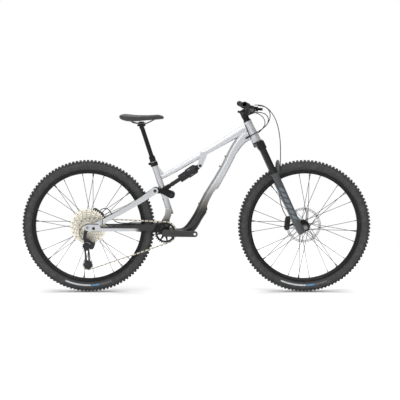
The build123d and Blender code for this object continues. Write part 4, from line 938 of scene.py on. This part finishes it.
# %% Lay the links
links = Pattern("links_on_points", {"Link": "NodeSocketObject", "Material": "NodeSocketMaterial"})
shape = links.node("ObjectInfo", {}, {"Object": links.given("Link")}, "Geometry")
heading = links.node(
    "InputNamedAttribute", {"data_type": "FLOAT"}, {"Name": "heading"}, "Attribute",
)
turn = links.node("ShaderNodeCombineXYZ", {}, {"Y": heading})
points = links.node("MeshToPoints", {}, {"Mesh": links.given("Geometry")})
laid = links.node("InstanceOnPoints", {}, {"Points": points, "Instance": shape, "Rotation": turn})
real = links.node("RealizeInstances", {}, {0: laid})
links.tree.links.new(real, links.end.inputs[0])


def chain_length(name, first, last):
    """The links from roller first up to roller last, as one mesh."""
    parts = []
    for kind, odd in (("inner", 0), ("outer", 1)):
        here = [i % len(ROLLERS) for i in range(first, last) if i % 2 == odd]
        base = bpy.data.meshes.new(name + kind)
        base.from_pydata([(ROLLERS[i][0][0], CHAIN_Y, ROLLERS[i][0][1]) for i in here], [], [])
        headings = base.attributes.new("heading", "FLOAT", "POINT")
        for k, i in enumerate(here):
            a, b = ROLLERS[i][0], ROLLERS[(i + 1) % len(ROLLERS)][0]
            headings.data[k].value = -math.atan2(b[1] - a[1], b[0] - a[0])
        parts.append(links.make(name + kind, linked(name + kind, base), Link=LINK_SHAPES[kind]))
    made = joined(name, parts)
    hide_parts("chain")
    return made


def first_on(run):
    return next(i for i, (_, k) in enumerate(ROLLERS) if k >= run)


def spot(i):
    x, z = ROLLERS[i % len(ROLLERS)][0]
    return (x, CHAIN_Y, z)


lower, tension, rising, cog, upper = [first_on(k) for k in (1, 2, 5, 6, 7)]
end = len(ROLLERS)
low_a, low_b = lower + (tension - lower) // 2, lower + (tension - lower) * 4 // 5
top_mid = upper + (end - upper) // 2
CHAIN_CUTS = [
    ("chain_on_chainring", 0, lower, "frame", None),
    ("chain_lower_front", lower, low_a, "frame", "chainstay"),
    ("chain_lower_middle", low_a, low_b, "chainstay", "seatstay"),
    ("chain_lower_rear", low_b, tension, "seatstay", "cage"),
    ("chain_in_cage", tension, rising, "cage", None),
    ("chain_to_cog", rising, cog, "cage", "seatstay"),
    ("chain_on_cog", cog, upper, "seatstay", None),
    ("chain_upper_rear", upper, top_mid, "seatstay", "chainstay"),
    ("chain_upper_front", top_mid, end, "chainstay", "frame"),
]
for name, first, last, body, other in CHAIN_CUTS:
    length = chain_length(name, first, last)
    if other:
        spot(first)
        spot(last)
        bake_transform(length)
    else:
        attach(length, body)
for shape in LINK_SHAPES.values():
    bpy.data.objects.remove(shape)
print("chain cut into 9 lengths at", (lower, low_a, low_b, tension, rising, cog, upper, top_mid))

# %% [markdown]
# ## Grips
# A lock-on grip is a rubber sleeve with an inner clamp collar. Fine rings give the palm a hold, and
# a plain zone near the collar keeps the thumb comfortable. The sleeve is a smooth tube round the bar, and a
# pattern lays the rings along it. The bar sweeps back and up, so everything is made along its own axis.

# %% Ribbed grips
ribs = Pattern("grip_ribs", {
    "Count": "NodeSocketInt", "First": "NodeSocketVector", "Gap": "NodeSocketVector",
    "Turn": "NodeSocketRotation", "Radius": "NodeSocketFloat", "Thickness": "NodeSocketFloat",
    "Material": "NodeSocketMaterial",
})
hoop = ribs.node("CurvePrimitiveCircle", {"mode": "RADIUS"}, {
    "Resolution": 28, "Radius": ribs.given("Radius"),
})
bead = ribs.node("CurvePrimitiveCircle", {"mode": "RADIUS"}, {
    "Resolution": 6, "Radius": ribs.given("Thickness"),
})
hoop = ribs.node("CurveToMesh", {}, {"Curve": hoop, "Profile Curve": bead})
line = ribs.node("MeshLine", {}, {
    "Count": ribs.given("Count"), "Start Location": ribs.given("First"), "Offset": ribs.given("Gap"),
})
hoops = ribs.node("InstanceOnPoints", {}, {
    "Points": line, "Instance": hoop, "Rotation": ribs.given("Turn"),
})
ribs.finish_with(hoops)


def bar_axis(side):
    """Inner end of the grip and its outward direction along the swept bar."""
    sweep, rise = math.tan(math.radians(9)), math.tan(math.radians(5))
    clamp_x, clamp_z = 0.3058, 1.0214
    inner = Vector((clamp_x - 0.010 - 0.145 * sweep, side * 0.260, clamp_z + 0.013 + 0.145 * rise))
    return inner, Vector((-sweep, side, rise)).normalized()


def sleeve(name, inner, along, profile, finish):
    """Spin (distance, radius) pairs round a line."""
    turn = along.to_track_quat("Z", "Y").to_matrix()
    sides, points = 32, []
    for d, r in profile:
        for i in range(sides):
            a = 2 * math.pi * i / sides
            points.append(inner + turn @ Vector((r * math.cos(a), r * math.sin(a), d)))
    return piece_from(name, points, ring_faces(len(profile), sides), finish)


SLEEVE = [(0.0088, 0.0113), (0.0088, 0.0150), (0.0100, 0.0156), (0.0280, 0.0150), (0.0300, 0.0146),
          (0.1240, 0.0146), (0.1290, 0.0152), (0.1316, 0.0146), (0.1320, 0.0113)]
COLLAR = [(0.0002, 0.0113), (0.0002, 0.0170), (0.0010, 0.0178), (0.0070, 0.0178), (0.0078, 0.0170),
          (0.0078, 0.0113)]
collar_metal = anodised("grip_collar_black", (0.012, 0.012, 0.013), 0.34, 0.3)

for side, name in ((1, "left_grip"), (-1, "right_grip")):
    inner, along = bar_axis(side)
    rings = ribs.make(
        name + "_ribs", Count=36, First=inner + along * 0.031, Gap=along * 0.0026,
        Turn=along.to_track_quat("Z", "Y").to_euler(), Radius=0.0147, Thickness=0.0009, Material=grip_rubber,
    )
    grip = joined(name, [sleeve(name + "_sleeve", inner, along, SLEEVE, grip_rubber), rings,
                         sleeve(name + "_collar", inner, along, COLLAR, collar_metal)])
    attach(grip, "steering")
    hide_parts("grips")
    print(name, "faces", len(grip.data.polygons))

# %% [markdown]
# ## Hoses and housings
# Brake hoses and cable housings are springy tubes. Held at both ends and free between, they take wide smooth
# curves. Each one is a NURBS curve whose control points are the route from the CAD, so the line is smooth and
# the ends meet the lever, the hood on the frame or the caliper. Each becomes a plain tube; the derailleur line
# is attached to the seatstay, and the others stay fixed where they are made.

# %% Hoses
HOSE_RADIUS = 0.0025
SHIFT_LINE_RADIUS = 0.0022
ROUTES = {
    "rear_brake_hose_at_bar": [
        (334, -186, 1050), (360, -160, 1048), (384, -128, 1038), (401, -92, 1020), (409, -56, 996),
        (407, -22, 970), (395, 4, 944), (374, 20, 922), (348, 30, 904), (322, 30.5, 890), (297, 28, 877),
    ],
    "shift_housing": [
        (306, -186, 1012), (336, -168, 1014), (364, -144, 1010), (388, -114, 996), (398, -82, 974),
        (394, -56, 948), (374, -40, 926), (348, -33, 908), (322, -30, 893), (297, -28, 879),
    ],
    "dropper_housing": [
        (306, 186, 1012), (336, 168, 1008), (364, 142, 996), (384, 110, 976), (390, 80, 950),
        (378, 56, 924), (354, 40, 900), (326, 32, 880), (299, 28, 863),
    ],
    "front_brake_line": [
        (334, 188, 1050), (362, 166, 1052), (392, 140, 1042), (420, 112, 1018), (443, 88, 982),
        (458, 68, 940), (467, 54, 896), (472, 46, 850), (474, 41, 804), (474, 39, 758),
        (472.5, 38.6, 714), (470.5, 38.6, 670), (468.5, 38.8, 628), (467.5, 39.2, 588), (469, 40, 548),
        (474, 41, 512), (482, 42.4, 479), (494, 43.4, 449), (510, 44, 421.8),
    ],
    "rear_brake_line": [
        (-258, 41.5, 389), (-290, 45, 387), (-330, 49.5, 385.6), (-372, 54, 383.4), (-412, 58.4, 382),
        (-446, 61, 384), (-468, 61, 396), (-478, 61, 418), (-485, 61, 440), (-496, 61, 458),
        (-514, 60.6, 467), (-533, 60, 466), (-548, 60, 453.6),
    ],
    "derailleur_line": [
        (-545, -83.6, 392), (-570, -86.5, 393), (-598, -90, 395), (-624, -93, 389), (-643, -93.5, 370),
        (-650, -92, 344), (-644, -88, 320), (-632, -84, 306),
    ],
}


def hose(name, radius):
    """A smooth tube along one route, as a mesh with capped ends."""
    curve = bpy.data.curves.new(name, "CURVE")
    curve.dimensions = "3D"
    curve.bevel_depth = radius
    curve.bevel_resolution = 4
    curve.resolution_u = 8
    curve.use_fill_caps = True
    spline = curve.splines.new("NURBS")
    spline.points.add(len(ROUTES[name]) - 1)
    for point, (x, y, z) in zip(spline.points, ROUTES[name]):
        point.co = (x / 1000, y / 1000, z / 1000, 1)
    spline.order_u = 3
    spline.use_endpoint_u = True
    curve.materials.append(housing_plastic)
    drawn = linked(name + "_curve", curve)
    mesh = evaluated_mesh(drawn)
    bpy.data.objects.remove(drawn)
    mesh.polygons.foreach_set("use_smooth", [True] * len(mesh.polygons))
    return linked(name, mesh)


def metres(name, index):
    return tuple(c / 1000 for c in ROUTES[name][index])


for name in ("rear_brake_hose_at_bar", "shift_housing", "dropper_housing"):
    line = hose(name, HOSE_RADIUS)
    metres(name, 0)
    metres(name, -1)
    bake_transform(line)
    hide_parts("frame_cables")
line = hose("front_brake_line", HOSE_RADIUS)
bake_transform(line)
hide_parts("front_brake_hose")
line = hose("rear_brake_line", HOSE_RADIUS)
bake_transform(line)
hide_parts("rear_brake_hose")
line = hose("derailleur_line", SHIFT_LINE_RADIUS)
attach(line, "seatstay")
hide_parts("derailleur_housing")
print("hoses:", len(ROUTES))

# %% [markdown]
# ## Saddle
# A saddle is firm foam on a shell, under a thin cover pulled tight. It is wide behind, narrow in front,
# slightly dished along its length, and it has a channel down the middle. The pad starts from the CAD pad,
# remeshed into even cells. A short cloth simulation with a little pressure inside rounds it as a filled cover
# rounds. The dish and the channel come after it, moved point by point, and the seam is a fine groove in the
# cover's finish.


# %% Saddle pad
def even_copy(name, node, cell):
    """A copy of a CAD solid, merged and rebuilt from cells of one size."""
    mesh = nodes[node].data.copy()
    shape = bmesh.new()
    shape.from_mesh(mesh)
    bmesh.ops.remove_doubles(shape, verts=shape.verts, dist=1e-6)
    shape.to_mesh(mesh)
    shape.free()
    made = linked(name, mesh)
    remesh = made.modifiers.new("cells", "REMESH")
    remesh.mode = "VOXEL"
    remesh.voxel_size = cell
    return settled(made)


def settled(made):
    """Replace an object's mesh with what its modifiers make of it."""
    mesh = evaluated_mesh(made)
    made.modifiers.clear()
    made.data = mesh
    return made


def puffed(made, pressure, most):
    """Cloth under pressure for twenty frames; no point moves further than most."""
    before = [v.co.copy() for v in made.data.vertices]
    cloth = made.modifiers.new("cover", "CLOTH")
    cloth.settings.use_pressure = True
    cloth.settings.uniform_pressure_force = pressure
    cloth.settings.effector_weights.gravity = 0
    cloth.settings.quality = 4
    cloth.settings.tension_stiffness = 30
    cloth.settings.compression_stiffness = 30
    cloth.collision_settings.use_collision = False
    for step in range(1, 21):
        scene.frame_set(step)
    settled(made)
    scene.frame_set(1)
    for vertex, start in zip(made.data.vertices, before):
        moved = vertex.co - start
        if moved.length > most:
            vertex.co = start + moved * (most / moved.length)
    return made


def soft_step(value):
    value = max(0.0, min(1.0, value))
    return value * value * (3 - 2 * value)


def shaped_saddle(made):
    """Dish the top and press the channel."""
    for vertex in made.data.vertices:
        x, y, z = vertex.co
        top = soft_step((z - 0.984) / 0.008)
        ends = soft_step((x + 0.405) / 0.05) * soft_step((-0.215 - x) / 0.04)
        channel = math.exp(-(y / 0.0085) ** 2) * ends
        dish = math.exp(-((x + 0.325) / 0.06) ** 2)
        vertex.co.z -= top * (0.0042 * channel + 0.0022 * dish)
    return made


cover = Finish("saddle_cover_black", Sheen_Weight=0.15, IOR=1.45)
point = cover.place()
x, y, z = cover.axes(point)
grain = cover.cells(point, 620.0, "DISTANCE_TO_EDGE")
pale = cover.noise(point, 30.0, 4.0).fade(0.50, 0.80)
side_panel = y.size().fade(0.030, 0.0315) * (x + 0.300).fade(0.0, -0.004)
seam = ((z - 0.9835).size().fade(0.0011, 0.0006)) * (x + 0.19).fade(0.002, -0.002)
cover.surface(
    Base_Color=cover.mix(pale, (0.026, 0.026, 0.027), (0.046, 0.046, 0.048)),
    Roughness=0.50 + 0.12 * pale - 0.08 * side_panel,
)
cover.bump(0.5 * grain.fade(0.0, 0.12) - 1.2 * seam, 0.00016, 0.6)

saddle = even_copy("padded_saddle", "saddle", 0.0045)
puffed(saddle, 3.0, 0.003)
shaped_saddle(saddle)
smooth = saddle.modifiers.new("even", "SMOOTH")
smooth.factor = 0.5
smooth.iterations = 4
subdivision = saddle.modifiers.new("round", "SUBSURF")
subdivision.levels = 1
subdivision.render_levels = 1
settled(saddle)
saddle.data.materials.clear()
saddle.data.materials.append(cover.material)
saddle.data.polygons.foreach_set("use_smooth", [True] * len(saddle.data.polygons))
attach(saddle, "seatpost")
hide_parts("saddle")
print("saddle faces", len(saddle.data.polygons))

# %% [markdown]
# ## The studio
# The bike stands on a round white floor, lit by one wide soft light above and a weaker one at the front. The
# sky is as white as the floor near the horizon, so the floor's edge vanishes from every side, and darker
# higher up, because silver tubes only look round when they have something darker to reflect.

# %% Floor, lights and camera
FLOOR_RADIUS = 2.3


def round_floor():
    """A flat disc of white paper under the bike."""
    turns = [math.radians(a) for a in range(0, 360, 4)]
    points = [(FLOOR_RADIUS * math.cos(a), FLOOR_RADIUS * math.sin(a), 0.0) for a in turns]
    paper = Finish("studio_paper", Roughness=0.9)
    mottle = paper.noise(paper.place(), 3.0, 2.0)
    paper.surface(Base_Color=paper.mix(mottle, (0.90, 0.90, 0.90), (0.92, 0.92, 0.92)))
    mesh = bpy.data.meshes.new("studio_floor")
    mesh.from_pydata(points, [], [tuple(range(len(points)))])
    mesh.materials.append(paper.material)
    return linked("studio_floor", mesh)


def soft_light(name, place, target, size, power):
    light = bpy.data.lights.new(name, "AREA")
    light.shape = "RECTANGLE"
    light.size, light.size_y = size
    light.energy = power
    made = linked(name, light)
    made.location = place
    made.rotation_euler = (Vector(target) - Vector(place)).to_track_quat("-Z", "Y").to_euler()


round_floor()
soft_light("top_softbox", (0.0, -0.2, 4.2), (0.0, 0.0, 0.0), (6.4, 6.0), 330)
soft_light("front_fill", (-1.8, -5.6, 2.6), (0.0, 0.0, 0.6), (3.2, 2.2), 45)


def graded_sky():
    """White at the horizon and below it, mid grey overhead."""
    sky = bpy.data.worlds.new("studio_sky")
    sky.use_nodes = True
    tree = sky.node_tree
    direction = tree.nodes.new("ShaderNodeTexCoord").outputs["Generated"]
    height = tree.nodes.new("ShaderNodeSeparateXYZ")
    tree.links.new(direction, height.inputs[0])
    ramp = tree.nodes.new("ShaderNodeValToRGB")
    low, high = ramp.color_ramp.elements
    low.position, low.color = 0.14, (1.0, 1.0, 1.0, 1.0)
    high.position, high.color = 0.40, (0.32, 0.32, 0.33, 1.0)
    tree.links.new(height.outputs["Z"], ramp.inputs["Fac"])
    tree.links.new(ramp.outputs["Color"], tree.nodes["Background"].inputs["Color"])
    return sky


scene.world = graded_sky()
scene.view_settings.view_transform = "Standard"

CAMERA_PLACE = (0.020, -6.0, 1.100)
CAMERA_TARGET = Vector((0.020, 0.0, 0.520))
lens = bpy.data.cameras.new("side_view")
lens.lens = 96.5
camera = linked("side_view", lens)
camera.location = CAMERA_PLACE
camera.rotation_euler = (CAMERA_TARGET - camera.location).to_track_quat("-Z", "Y").to_euler()
scene.camera = camera
print("studio ready")
